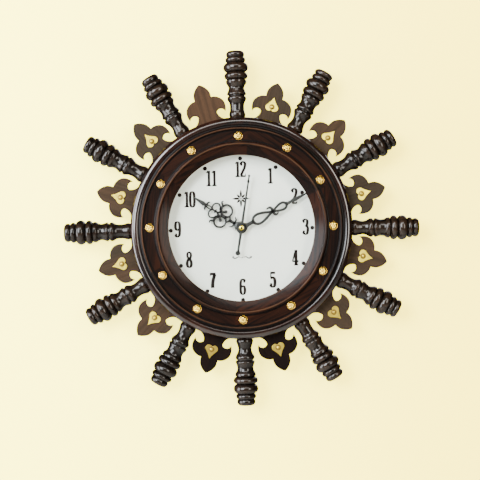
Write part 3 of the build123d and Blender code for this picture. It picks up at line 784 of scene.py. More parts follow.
# ------------------------------------------------------------------ ring
def ring_outline():
    """The ring's section as (radius, height): bead, channel, thin bead, groove and rounded band in
    front, and the two bores behind. Also says which points belong to the unlacquered back."""
    front = join(
        arc((LIP_R, 35.0), (82.3, 36.8), (86.9, 38.2), 8),
        arc((86.9, 38.2), (89.0, RING_FRONT), (91.2, 37.4), 12),
        arc((91.2, 37.4), (91.35, 36.6), (92.0, CHANNEL_D), 4),
        arc((92.0, CHANNEL_D), (97.6, CHANNEL_D - 0.01), (103.2, CHANNEL_D), 5),
        arc((103.2, CHANNEL_D), (103.8, 36.35), (104.0, 36.7), 4),
        arc((104.0, 36.7), (105.4, 37.6), (106.7, 36.0), 8),
        arc((106.7, 36.0), (108.4, 31.6), (111.0, 32.2), 10),
        arc((111.0, 32.2), (115.9, 31.0), (RING_R, 25.5), 12),
        (RING_R, 25.5), (RING_R, 17.0), (RING_R, 4.0))
    back = join((RING_R - 3.0, 0.0), (BACK_R, 0.0), (BACK_R, BOARD_D[0]), (SEAT_R, BOARD_D[0]),
                (SEAT_R, GLASS_D[1]), (LIP_R, GLASS_D[1]))
    return np.concatenate([front, back]), len(front)


def hanger_cutters():
    """The recess that takes the hanger plate and the deeper pocket behind its keyhole. Both start
    clear of the ring's back."""
    w, h, corner = 18.05, 10.05, 4.0
    cut = corner * 0.293      # how far a rounded corner stays inside the square one
    parts = []
    for sx, sy in ((1, 1), (-1, 1), (-1, -1), (1, -1)):
        side, end = (sx * w, sy * (h - corner)), (sx * (w - corner), sy * h)
        first, last = (side, end) if sx == sy else (end, side)
        parts += [arc(first, (sx * (w - cut), sy * (h - cut)), last, 5), last]
    outline = join(*parts) + (0, HANGER_Y)
    recess = Surface().prism(outline, -2.0, 1.2)
    side, low, high = 7.0, 93.0, 110.5
    pocket = Surface().prism([(-side, low), (side, low), (side, high), (-side, high)], -2.5, 11.2)
    return recess, pocket


def carve(piece, cutters):
    """Cuts closed shapes out of a piece and keeps the result as its mesh."""
    for cutter in cutters:
        mesh = bpy.data.meshes.new("cutter")
        mesh.from_pydata(world(np.concatenate(cutter.points)).tolist(), [], cutter.faces)
        tidy(mesh)
        tool = bpy.data.objects.new("cutter", mesh)
        bpy.context.scene.collection.objects.link(tool)
        cut = piece.modifiers.new("cut", "BOOLEAN")
        cut.operation, cut.solver, cut.object = "DIFFERENCE", "EXACT", tool
        bpy.context.view_layer.update()
        carved = bpy.data.meshes.new_from_object(piece.evaluated_get(bpy.context.evaluated_depsgraph_get()))
        piece.modifiers.clear()
        piece.data = carved
        bpy.data.objects.remove(tool)


class CLOCK_OT_ring(bpy.types.Operator):
    """Turned ring of six glued segments, each with its own run of grain"""
    bl_idname = "clock.ring"
    bl_label = "Ring"

    def execute(self, context):
        outline, lacquered = ring_outline()
        r, d = outline.T
        span = 360 / SEGMENTS
        t = np.radians(np.linspace(-span / 2, span / 2, 61))[:, None]
        sweep = np.stack([r * np.sin(t), r * np.cos(t), d + 0 * t], -1)
        for k, tone in enumerate((0.42, 0.50, 0.55, 0.48, 0.42, 0.50)):
            shape = Surface()
            shape.grid(sweep[:, :lacquered]).grid(sweep[:, lacquered - 1:], slot=1)
            shape.grid(np.stack([sweep[:, -1], sweep[:, 0]], 1), slot=0)
            shape.face(sweep[0], 1).face(sweep[-1], 1)
            shift = np.random.default_rng(20 + k).uniform(-300, 300, 3)
            piece = shape.build(
                f"ring_segment_{k + 1}_wood", [ring_wood(), raw_wood()], "root", "ring_wood",
                [f"ring_segment_{k + 1}"], FIRST_JOINT + span * (k + 0.5),
                lambda p: p[:, [1, 0, 2]] + shift, tone)
            if k in (0, SEGMENTS - 1):
                carve(piece, hanger_cutters())
        return {"FINISHED"}


# ------------------------------------------------------------------ spindles
def spindle_outline(d):
    """Half-section of a spindle as (radius, distance from the dial's centre). d holds the ten small
    differences that hand turning leaves in its crests and their places."""
    base, tip = RING_R + 0.05, TIP_R - 0.3 - abs(d[9])
    return join(
        (0, base - 0.6), (7.2, base - 0.6), (7.6, base),
        arc((7.7, base), (8.8 + d[0], 120.6), (8.6, 123.0), 5),
        flowing([(8.6, 123.0), (7.7, 126.0), (7.25 + d[1], 129.6), (7.8, 133.4), (9.6, 136.9 + d[2])], 6),
        arc((9.7, 137.0 + d[2]), (10.15, 138.8 + d[2]), (9.8, 140.6 + d[2]), 5),
        (8.7, 141.3 + d[2]), (8.6, 142.1 + d[2]),
        arc((9.8, 142.6 + d[2]), (10.25, 143.8 + d[2]), (9.8, 145.0 + d[2]), 4),
        flowing([(9.8, 145.1 + d[2]), (8.9, 147.8), (8.6 + d[3], 150.2), (9.2, 152.8), (10.5, 154.9)], 6),
        arc((10.6, 155.0), (11.05, 156.9), (10.8, 158.8), 5),
        arc((9.5, 159.4), (12.75 + d[4], 163.1 + d[5]), (9.9, 166.8 + d[5]), 14),
        arc((9.6, 167.2 + d[5]), (13.2 + d[6] * 0.3, 172.2 + d[5]), (9.5, 177.3 + d[5]), 18),
        arc((9.2, 177.7 + d[5]), (10.9 + d[7], 180.5 + d[5]), (9.0, 183.1 + d[5]), 12),
        arc((8.7, 183.5 + d[5]), (9.9 + d[8], 186.3 + d[5]), (8.4, 189.0), 12),
        arc((7.8, 189.5), (4.3, 190.05), (0.02, tip), 6), (0, tip))


# Degrees by which hand fitting turned each piece clockwise of its true place, from one o'clock on.
SPINDLES_OFF = (-0.6, 0.0, 0.9, -1.3, -1.1, -0.4, -0.5, 0.6, -0.4, -0.2, -0.6, -0.9)
PLATES_OFF = (0.3, 0.0, 0.2, -0.8, -1.5, -0.9, 0.1, 0.3, -0.5, 0.4, 0.2, -0.5)
STUDS_OFF = (0.7, -0.2, -0.2, -1.0, -1.5, 0.1, -0.2, 0.3, 1.2, -0.3, -1.8, -0.7)


def hour_clock(hour, off):
    """The clock angle at which the piece of an hour really stands."""
    return 30.0 * hour + off[hour - 1]


class CLOCK_OT_spindles(bpy.types.Operator):
    """Twelve hand-turned spindles, no two quite alike"""
    bl_idname = "clock.spindles"
    bl_label = "Spindles"

    def execute(self, context):
        steps = sizes().lathe_steps
        for hour in range(1, HOURS + 1):
            rng = np.random.default_rng(100 + hour)
            drift = rng.uniform(-1, 1, 10) * sizes().turning_drift
            outline = spindle_outline(drift)
            spun = lathe(outline, steps)
            t = 2 * pi * np.arange(steps) / steps
            wobble = (1 + 0.004 * np.sin(2 * t + rng.uniform(0, 6))
                      + 0.003 * np.sin(outline[:, 1:] * 0.9 + 3 * t))
            along = np.stack([spun[..., 0] * wobble, spun[..., 2], ARM_D + spun[..., 1] * wobble], -1)
            # Painted shade: the tone, and with it the wood's colour, falls in the grooves and rises on the
            # beads.
            crest = outline[:, 0] - smooth(outline, 4.0)
            tone = rng.uniform(0.25, 0.65) + np.clip(crest * 0.3, -0.6, 0.45)
            node = f"spindle_{hour:02d}"
            Surface().grid(along, columns=True).build(
                node + "_turned", [spindle_wood()], "root", "spindle_wood", [node],
                hour_clock(hour, SPINDLES_OFF), straight_grain(200 + hour), np.repeat(tone, steps), 38.0)
        return {"FINISHED"}


# ------------------------------------------------------------------ fretwork and brass
def mirrored(right):
    """A closed outline from its right half, which starts and ends on the middle line."""
    return np.concatenate([right, right[-2:0:-1] * (-1, 1)])


def fleur_outline():
    """The fretwork plate's edge: a pointed leaf, hooked side leaves and a foot on the ring."""
    foot_x, foot_r = 22.6, RING_R + 0.05
    foot_y = sqrt(foot_r ** 2 - foot_x ** 2)
    half = join(
        arc((0, 159.8), (5.0, 156.1), (8.5, 150.8), 8),
        arc((8.5, 150.8), (9.1, 147.6), (9.1, 143.9), 6),
        arc((9.1, 143.9), (16.0, 141.8), (20.6, 136.6), 10),
        arc((20.6, 136.6), (21.3, 130.9), (19.6, 125.4), 10),
        arc((19.6, 125.4), (15.4, 129.6), (10.4, 127.3), 10),
        arc((10.4, 127.3), (12.6, 120.6), (foot_x, foot_y + 1.0), 12), (foot_x, foot_y + 1.0))
    t = np.linspace(np.arcsin(foot_x / foot_r), 0, 12)
    foot = np.stack([foot_r * np.sin(t), foot_r * np.cos(t)], -1)
    return mirrored(np.concatenate([half, foot]))


def heart_outline():
    """A heart that points outwards: drawn-out point, full shoulders and round lobes."""
    return mirrored(join(
        arc((0, 144.0), (2.8, 138.9), (6.1, 134.9), 9),
        arc((6.1, 134.9), (6.5, 131.2), (3.5, 129.0), 8),
        arc((3.5, 129.0), (1.4, 129.3), (0, 130.9), 6), (0, 130.9)))


def pin_profile(r, height):
    """A domed head with a rolled rim, from the rim's foot to the top."""
    dome = arc((r * 0.86, height * 0.30), (r * 0.52, height * 0.82), (0.01, height), 10)
    return join([(0, 0), (r * 0.96, 0), (r, height * 0.12), (r * 0.95, height * 0.26)], dome, [(0, height)])


def stud_grid(twist, rng):
    """An embossed stud: rim, groove, dome and middle knob, with petals that swirl round the dome.
    Height = profile(r) + petal height * cos(petals * angle + turn * r). Returns the grid and how
    bright the brass has stayed at each point, low in the grooves and between the petals."""
    profile = join([(0, 0), (4.5, 0), (4.5, 0.35), (4.3, 0.62)],
                   arc((4.1, 0.66), (3.95, 0.60), (3.8, 0.5), 3),
                   arc((3.7, 0.55), (2.6, 1.55), (1.35, 1.85), 9),
                   arc((1.2, 1.72), (1.1, 1.68), (1.0, 1.74), 3),
                   arc((0.95, 1.8), (0.6, 2.25), (0.05, 2.38), 6), [(0, 2.38)])
    steps = 60
    grid = lathe(profile, steps)
    r = profile[:, :1]
    t = 2 * pi * np.arange(steps) / steps
    above_rim = (np.arange(len(profile)) > 3)[:, None]
    petals = np.clip((r - 1.3) / 0.5, 0, 1) * np.clip((3.75 - r) / 0.5, 0, 1) * above_rim
    wave = petals * np.cos(6 * t + twist * r * 1.4 + rng.uniform(0, 6))
    grid[..., 2] += 0.30 * wave
    groove = ((abs(r - 3.9) < 0.22) | (abs(r - 1.1) < 0.13)) & (profile[:, 1:] > 0.45)
    return grid, np.clip(0.66 + 0.8 * wave, 0, 1) * (1 - 0.9 * groove)


def plate_clock(number):
    """The clock angle at which a plate really stands."""
    return 30.0 * number - 15 + PLATES_OFF[number - 1]


class CLOCK_OT_fretwork(bpy.types.Operator):
    """Twelve sawn plates between the spindles"""
    bl_idname = "clock.fretwork"
    bl_label = "Fretwork"

    def execute(self, context):
        # Each plate's tone from one on; the low tones of the two bottom plates are painted shade.
        tones = (0.4, 0.5, 0.35, 0.55, 0.45, 0.2, 0.25, 0.6, 0.3, 0.5, 0.45, 0.95)
        for number, tone in enumerate(tones, 1):
            node = f"fleur_{number:02d}"
            Surface().plate(fleur_outline(), *PLATE_D, sizes().plate_edge).build(
                node + "_sawn", [plate_wood(number in LOW_PLATES_SHADED)], "root", "fretwork_wood", [node],
                plate_clock(number), straight_grain(300 + number), tone)
        return {"FINISHED"}


# How bright each plate's heart is, 0 to 1, from the plate after twelve on: partly tarnished brass,
# partly painted shade that darkens the hearts towards the bottom.
HEART_TARNISH_AND_SHADE = (1.0, 0.95, 1.0, 0.7, 0.34, 0.27, 0.18, 0.8, 0.55, 0.55, 0.6, 0.6)


class CLOCK_OT_brass(bpy.types.Operator):
    """Heart plates, their pins and the studs in the channel"""
    bl_idname = "clock.brass"
    bl_label = "Brass"

    def execute(self, context):
        pins, hearts, studs = Surface(), Surface(), Surface()
        pin_local, heart_local, heart_tarnish_and_shade, stud_shine = [], [], [], []
        for number in range(1, HOURS + 1):
            if number == BARE_PLATE:
                continue
            clock = plate_clock(number)
            pin = lathe(pin_profile(PIN_R, PIN_H), 32)
            pin_local.append(pin.reshape(-1, 3))
            pins.grid(turned(pin + (0, HEART_R, HEART_D[1]), clock), columns=True)
            one = Surface().plate(heart_outline(), *HEART_D, 0.18)
            local = np.concatenate(one.points)
            heart_local.append(local - (0, HEART_R, HEART_D[1]))
            # Painted shade and tarnished brass: each heart's brightness from the list above.
            heart_tarnish_and_shade += [HEART_TARNISH_AND_SHADE[number - 1]] * len(local)
            hearts.include(one, turned(local, clock))
        for hour in range(HOURS):
            rng = np.random.default_rng(400 + hour)
            stud, shine = stud_grid(1.0 if hour % 3 else -1.0, rng)
            stud_shine.append(shine.ravel())
            studs.grid(turned(stud + (0, STUD_AT, CHANNEL_D), hour_clock(hour, STUDS_OFF)), columns=True)
        hearts.build("heart_plates_pressed", [sheet_brass()], "root", "brass", ["heart_plates"],
                     grain=lambda points: np.concatenate(heart_local), tone=np.array(heart_tarnish_and_shade))
        pins.build("heart_pins_domed", [sheet_brass()], "root", "brass", ["heart_pins"],
                   grain=lambda points: np.concatenate(pin_local), tone=0.45)
        studs.build("ring_studs_embossed", [stud_brass()], "root", "brass", ["ring_studs"],
                    grain=lambda points: points, tone=np.concatenate(stud_shine), crease=60.0)
        return {"FINISHED"}


# ------------------------------------------------------------------ dial
THICK, THIN = 2.6, 1.35      # stems and hairlines of a numeral


def pen(points, closed=False, thick=THICK, thin=THIN):
    """A pen stroke through points: its width goes from thin where it runs level to thick where it
    runs upright. Returns the path, the widths and whether the path is closed."""
    path = flowing(points, 7, closed)
    along = steps_along(path, closed)
    upright = np.abs(along[:, 1]) / np.linalg.norm(along, axis=1)
    return path, thin + (thick - thin) * upright ** 1.5, closed


def slab(x0, y0, x1, y1, width, end=None):
    """A straight stroke with a width at each end."""
    return np.array([(x0, y0), (x1, y1)], float), np.array([width, end or width], float), False


FOOT = [slab(-2.5, -7.75, 2.5, -7.75, 1.1), slab(0, -7.4, 0, -6.2, 3.4, 1.9)]
LOWER_BOWL = [(1.2, 1.0), (2.15, -0.8), (2.3, -3.6), (1.6, -6.9), (0, -7.95), (-1.7, -7.0), (-2.15, -5.2)]
CELL_H = 16.6
# Each numeral is drawn in a cell of that height with its middle at (0, 0): strokes, then round dots.
STROKES = {
    "0": ([pen([(0, 7.95), (1.7, 6.4), (2.15, 0), (1.7, -6.4), (0, -7.95), (-1.7, -6.4), (-2.15, 0),
                (-1.7, 6.4)], True)], []),
    "1": ([slab(0.2, 8.2, 0.2, -7.6, 2.4), slab(-2.3, 5.9, -0.3, 7.9, 1.1, 1.6), *FOOT], []),
    "2": ([pen([(-2.0, 4.9), (-1.8, 6.8), (0, 7.95), (1.8, 6.6), (2.0, 4.1), (1.1, 0.6), (-0.9, -3.4),
                (-2.2, -7.0)]),
           slab(-2.7, -7.4, 2.6, -7.4, 1.7), slab(2.35, -7.6, 2.5, -4.6, 0.9, 0.5)], [(-1.75, 4.7, 1.15)]),
    "3": ([pen([(-2.0, 5.4), (-1.7, 7.1), (0, 7.95), (1.7, 6.6), (1.9, 3.8), (1.0, 1.4), (-0.5, 0.7)]),
           pen([(-0.5, 0.7), *LOWER_BOWL])], [(-1.7, 5.1, 1.15), (-1.75, -4.9, 1.2)]),
    "4": ([slab(0.9, 8.2, 0.9, -7.6, 2.9), slab(0.5, 8.1, -2.6, -3.9, 1.4, 1.5),
           slab(-3.0, -4.0, 3.1, -4.0, 1.5), slab(-1.2, -7.65, 3.0, -7.65, 1.4),
           slab(3.0, -3.0, 3.0, -5.1, 0.9)], []),
    "5": ([slab(-2.2, 7.1, 2.4, 7.1, 2.2), slab(-1.8, 7.9, -1.8, 0.9, 1.3), slab(2.3, 8.2, 2.3, 6.1, 0.8),
           pen([(-1.9, 1.1), (-0.2, 2.3), (1.5, 1.2), (2.2, -1.2), (2.3, -3.8), (1.6, -6.9), (0, -7.95),
                (-1.6, -7.1), (-2.1, -5.4)], False, 3.0, 1.6)], [(-1.7, -5.0, 1.35)]),
    "6": ([pen([(2.0, 5.6), (1.6, 7.2), (0.1, 7.95), (-1.6, 6.4), (-2.15, 2.6), (-2.2, -3.6), (-1.6, -6.9),
                (0, -7.95), (1.6, -6.9), (2.15, -3.6), (1.6, -0.3), (0.1, 0.8), (-1.5, -0.3)])],
          [(1.7, 5.3, 1.15)]),
    "7": ([slab(-2.5, 6.9, 2.8, 6.9, 2.5), slab(-2.4, 8.2, -2.4, 4.5, 1.1, 0.7),
           slab(2.75, 8.2, 2.75, 6.4, 0.8),
           pen([(2.3, 6.6), (1.2, 3.2), (0.2, -1.2), (-0.2, -5.0), (-0.2, -8.1)], thick=3.4)], []),
    "8": ([pen([(0, 7.95), (1.6, 6.6), (1.75, 3.9), (0.9, 1.3), (0, 0.6), (-0.9, 1.3), (-1.75, 3.9),
                (-1.6, 6.6)], True, 2.3, 1.5),
           pen([(0, 0.6), (1.5, -0.9), (2.15, -4.0), (1.6, -6.9), (0, -7.95), (-1.6, -6.9), (-2.15, -4.0),
                (-1.5, -0.9)], True, 2.8, 1.6)], []),
}
STROKES["9"] = ([(path * (-1, -1), widths, closed) for path, widths, closed in STROKES["6"][0]],
                [(-x, -y, r) for x, y, r in STROKES["6"][1]])
NUMERAL_R = (63.8, 65.9, 68.3, 65.3, 64.2, 62.7, 63.8, 65.3, 68.3, 63.4, 62.0, 62.8)
DIGIT_SHIFT = 2.95            # half the distance between the middles of two digits
PRINT_W, PRINT_BOLD = 1.05, 1.15    # how much wider a numeral and its strokes print than drawn
INK_EDGE = 0.01
MARK_AT = 31.5                # from the centre to the printed ornaments
DOT_R, DOT_AT, DOTS_LOW = 2.2, 75.6, 1.2    # the dots are printed a little low on the card


def numeral(shape, text, x, y, back, front):
    """Prints one or two digits about a point."""
    scale = sizes().numeral_height / CELL_H
    for place, digit in enumerate(text):
        shift = 0.0 if len(text) == 1 else (place * 2 - 1) * DIGIT_SHIFT
        strokes, dots = STROKES[digit]
        middle = np.array([x + shift * scale, y])
        for path, widths, closed in strokes:
            line = path * (scale * PRINT_W, scale) + middle
            grid = ribbon(line, widths * scale * PRINT_BOLD, back, front, INK_EDGE, closed)
            if closed:
                shape.grid(grid, rows=True, columns=True)
            else:
                shape.strip(grid)
        for dx, dy, r in dots:
            shape.disc(*(middle + np.array([dx, dy]) * scale), r * scale, back, front, INK_EDGE, 20)


def rosette(shape, x, y, back, front):
    """Eight slender leaves about a small dot: half width = 0.9 sin(pi s) along each leaf, every
    second leaf shorter."""
    s = np.linspace(0, 1, 15)
    for k in range(8):
        reach = 1.3 + (8.0 if k % 2 == 0 else 5.0) * s
        path = np.stack([np.sin(k * pi / 4) * reach, np.cos(k * pi / 4) * reach], -1)
        shape.strip(ribbon(path + (x, y), 0.25 + 2.1 * np.sin(pi * s ** 0.8), back, front, INK_EDGE))
    shape.disc(x, y, 0.8, back, front, INK_EDGE, 20)


def flourish(shape, y, back, front):
    """Two mirrored curls and a dot under the centre."""
    curl = flowing([(1.6, 0), (4.0, 0.9), (7.0, -0.7), (10.0, 0.2), (9.4, 1.2), (8.6, 0.7)], 7)
    for side in (1, -1):
        widths = 0.35 + 0.75 * np.sin(pi * np.linspace(0, 1, len(curl)))
        shape.strip(ribbon(curl * (side, 1) + (0, y), widths, back, front, INK_EDGE))
    shape.disc(0, y, 0.65, back, front, INK_EDGE, 16)


class CLOCK_OT_dial(bpy.types.Operator):
    """Dial card with its printing, the board behind it and the spacer in front"""
    bl_idname = "clock.dial"
    bl_label = "Dial"

    def execute(self, context):
        hole = 4.1
        hardboard = material("hardboard", hardboard_finish, (0.23, 0.12, 0.06, 1.0))
        for name, node, (back, front), finish, slot in (
                ("dial_card", "dial", DIAL_D, card(), "dial_card"),
                ("dial_board_pressed", "dial_board", BOARD_D, hardboard, "hardboard")):
            edge = (front - back) * 0.15
            loop = [(hole, back), (DISC_R - edge, back), (DISC_R, back + edge), (DISC_R, front - edge),
                    (DISC_R - edge, front), (hole, front)]
            Surface().tube(loop).build(name, [finish], "root", slot, [node])
        top = DIAL_D[1]
        ink_top = top + sizes().print_height
        printing = Surface()
        for hour, r in enumerate(NUMERAL_R, 1):
            a = radians(30 * hour)
            numeral(printing, str(hour), r * sin(a), r * cos(a), top, ink_top)
            printing.disc(DOT_AT * sin(a), DOT_AT * cos(a) - DOTS_LOW, DOT_R, top, ink_top, INK_EDGE)
        rosette(printing, 0, MARK_AT, top, ink_top)
        flourish(printing, -MARK_AT, top, ink_top)
        printing.build("dial_printing", [ink()], "root", "dial_card")
        low, high = depth("glass_spacer_ring")
        inner = DISC_R - 2.6
        loop = [(inner, low), (DISC_R, low), (DISC_R, high), (inner + 0.3, high), (inner, high - 0.3)]
        strip = material("spacer_strip", card_finish, (0.55, 0.55, 0.52, 1.0))
        Surface().tube(loop).build(
            "glass_spacer_strip", [strip], "root", "spacer_plastic", ["glass_spacer_ring"])
        return {"FINISHED"}


class CLOCK_OT_glass(bpy.types.Operator):
    """The flat glass with ground edges"""
    bl_idname = "clock.glass"
    bl_label = "Glass"

    def execute(self, context):
        back, front = GLASS_D
        edge = 0.3
        profile = [(0, back), (DISC_R - edge, back), (DISC_R, back + edge), (DISC_R, front - edge),
                   (DISC_R - edge, front), (0, front)]
        finish = material("clear_glass", glass_finish, (0.97, 0.985, 0.98, 1.0))
        Surface().grid(lathe(profile), columns=True).build(
            "glass_flat", [finish], "root", "clear_glass", ["glass"], crease=20.0)
        return {"FINISHED"}


# ------------------------------------------------------------------ hands
def sides(strokes):
    """The given strokes and their mirror images across the hand's middle."""
    return strokes + [([(-x, y) for x, y in points], widths) for points, widths in strokes]


# Each hand is drawn at twelve o'clock: strokes as points and their widths, then round dots.
HOUR_STROKES = [
    ([(0, 4.0), (0, 6.2), (0, 8.4), (0, 11.0), (0, 15.0)], (8.6, 5.2, 2.8, 2.0, 2.4)),
    ([(0, 20.2), (0, 22.4), (0, 25.4)], (3.4, 2.5, 2.8)),
    ([(0, 29.0), (0, 34.0), (0, 38.8)], (1.5, 1.1, 1.6)),
    ([(-2.3, 33.1), (0, 33.1), (2.3, 33.1)], (0.5, 1.7, 0.5)),
    ([(0, 44.0), (0, 46.0), (0, 48.6), (0, 54.5), (0, 60.2)], (1.7, 2.1, 2.9, 1.9, 0.6)),
] + sides([
    ([(0, 9.2), (2.4, 9.1), (4.5, 9.9), (6.3, 12.3)], (1.8, 1.5, 1.2, 0.7)),
    ([(0, 14.4), (2.0, 15.9), (4.0, 17.2), (7.2, 16.9), (10.6, 18.6), (12.9, 22.4), (12.2, 26.4),
      (9.2, 28.9), (5.9, 29.4), (3.7, 28.2), (3.4, 25.9), (4.7, 23.9)],
     (1.7, 1.5, 1.5, 1.4, 1.4, 1.5, 1.5, 1.7, 2.2, 2.2, 1.8, 1.6)),
    ([(4.0, 17.2), (2.0, 18.7), (0, 20.8)], (1.5, 1.5, 1.9)),
    ([(0, 25.0), (1.7, 26.5), (3.6, 28.4)], (1.8, 1.6, 2.2)),
    ([(3.4, 28.0), (1.6, 28.8), (0, 30.4)], (1.8, 1.6, 1.2)),
    ([(8.8, 28.8), (10.4, 31.0), (11.8, 32.5), (13.7, 31.6)], (1.8, 1.5, 1.2, 0.8)),
    ([(4.0, 29.4), (6.9, 31.3), (8.4, 34.3), (7.3, 37.2), (4.6, 38.5), (1.8, 38.2), (0, 36.8)],
     (1.6, 1.3, 1.2, 1.2, 1.2, 1.3, 1.4)),
    ([(1.3, 38.0), (1.35, 41.2), (1.1, 44.4)], (1.0, 0.9, 1.0)),
    ([(0, 44.4), (2.4, 44.7), (4.1, 44.1), (5.0, 42.9)], (1.8, 1.5, 1.2, 0.7)),
])
HOUR_DOTS = [(5.5, 23.4, 1.9), (-5.5, 23.4, 1.9)]
MINUTE_STROKES = [
    ([(0, 3.8), (0, 6.0), (0, 9.0), (0, 14.8)], (7.0, 3.8, 2.7, 2.8)),
    ([(0, 37.6), (-2.9, 37.9), (-5.2, 36.6), (-5.2, 32.7)], (2.4, 2.0, 1.7, 1.0)),
    ([(0, 37.8), (2.9, 38.0), (4.7, 39.6), (3.8, 42.7)], (2.4, 2.0, 1.7, 1.0)),
    ([(0, 53.8), (0, 55.4), (0, 56.4), (0, 57.6), (0, 59.0), (0, 62.0), (0, 70.0), (0, 79.6)],
     (2.0, 3.0, 1.7, 2.6, 1.9, 2.7, 2.2, 0.7)),
] + sides([
    ([(0, 14.3), (2.9, 15.4), (4.8, 18.8), (4.8, 23.0), (3.3, 28.6), (1.3, 33.4), (0, 37.4)],
     (2.2, 1.9, 1.9, 1.9, 1.9, 1.8, 2.0)),
    ([(0, 38.0), (1.2, 40.8), (2.8, 45.0), (3.6, 49.0), (2.8, 52.4), (0, 54.3)],
     (2.0, 1.7, 1.7, 1.8, 1.8, 2.0)),
])
MINUTE_DOTS = [(0, 37.6, 1.8)]
SECONDS_STROKES = [
    ([(0, -26.5), (0, -12.0), (0, 0), (0, 30.0), (0, 56.0)], (1.6, 1.8, 1.9, 1.4, 1.1)),
]
SECONDS_DOTS = [(0, -26.9, 2.7), (0, 49.9, 1.5), (0, 56.0, 1.3), (0, 0, 3.7)]


def hand(name, strokes, dots, hub, span, body):
    """A pierced hand: strokes and dots that run into each other, and a hub with its bore, where it
    has one."""
    weight = sizes().hand_weight
    edge = 0.14
    shape = Surface()
    back, front = span
    for points, widths in strokes:
        path = flowing(np.column_stack([points, widths]), 9)
        shape.strip(ribbon(path[:, :2], path[:, 2] * weight, back, front, edge))
    for x, y, r in dots:
        shape.disc(x, y, r, back, front, edge)
    if hub:
        r, bore = hub
        loop = [(bore, back), (r, back), (r, front - edge), (r - edge, front), (bore + 0.1, front),
                (bore, front - 0.1)]
        shape.grid(lathe(loop, 64), rows=True, columns=True)
    shape.build(name, [enamel()], body, "black_hand", [body + "_hand"], HAND_AT[body])


class CLOCK_OT_hands(bpy.types.Operator):
    """Pierced hour and minute hands and the seconds hand with its cap"""
    bl_idname = "clock.hands"
    bl_label = "Hands"

    def execute(self, context):
        hand("hour_hand_pierced", HOUR_STROKES, HOUR_DOTS, (5.9, 2.55), HOUR_D, "hour")
        hand("minute_hand_pierced", MINUTE_STROKES, MINUTE_DOTS, (5.6, 1.55), MINUTE_D, "minute")
        back, top = SECONDS_D
        front = back + HAND_T
        hand("seconds_hand_rod", SECONDS_STROKES, SECONDS_DOTS, None, (back, front), "seconds")
        cap = join([(0, front), (2.4, front), (2.4, front + 0.3)],
                   arc((2.3, front + 0.4), (1.3, front + 0.72), (0.01, top), 8), [(0, top)])
        Surface().grid(lathe(cap, 48), columns=True).build("centre_cap", [brass()], "seconds", "brass")
        return {"FINISHED"}


# ------------------------------------------------------------------ movement and back
def screw_head(x, y, r, height, base):
    """A domed head that looks backwards, with a cross recess: height falls where |u| or |v| is small
    near the middle."""
    rows, steps = 22, 64
    s = np.linspace(0, 1, rows)[:, None]
    t = 2 * pi * np.arange(steps) / steps
    radius = r * s
    u, v = radius * np.cos(t), radius * np.sin(t)
    dome = height * np.sqrt(np.clip(1 - 0.8 * s ** 2, 0, 1))
    arm = np.minimum(np.abs(u), np.abs(v))
    recess = np.clip((0.42 - arm) / 0.16, 0, 1) * np.clip((0.56 * r - radius) / 0.3, 0, 1)
    top = dome - 0.9 * height * recess
    grid = np.stack([x + u, y + v, base - top], -1)
    rim = grid[-1:].copy()
    rim[..., 2] = base
    centre = np.broadcast_to(np.array([x, y, base]), rim.shape)
    return np.concatenate([grid, rim, centre])


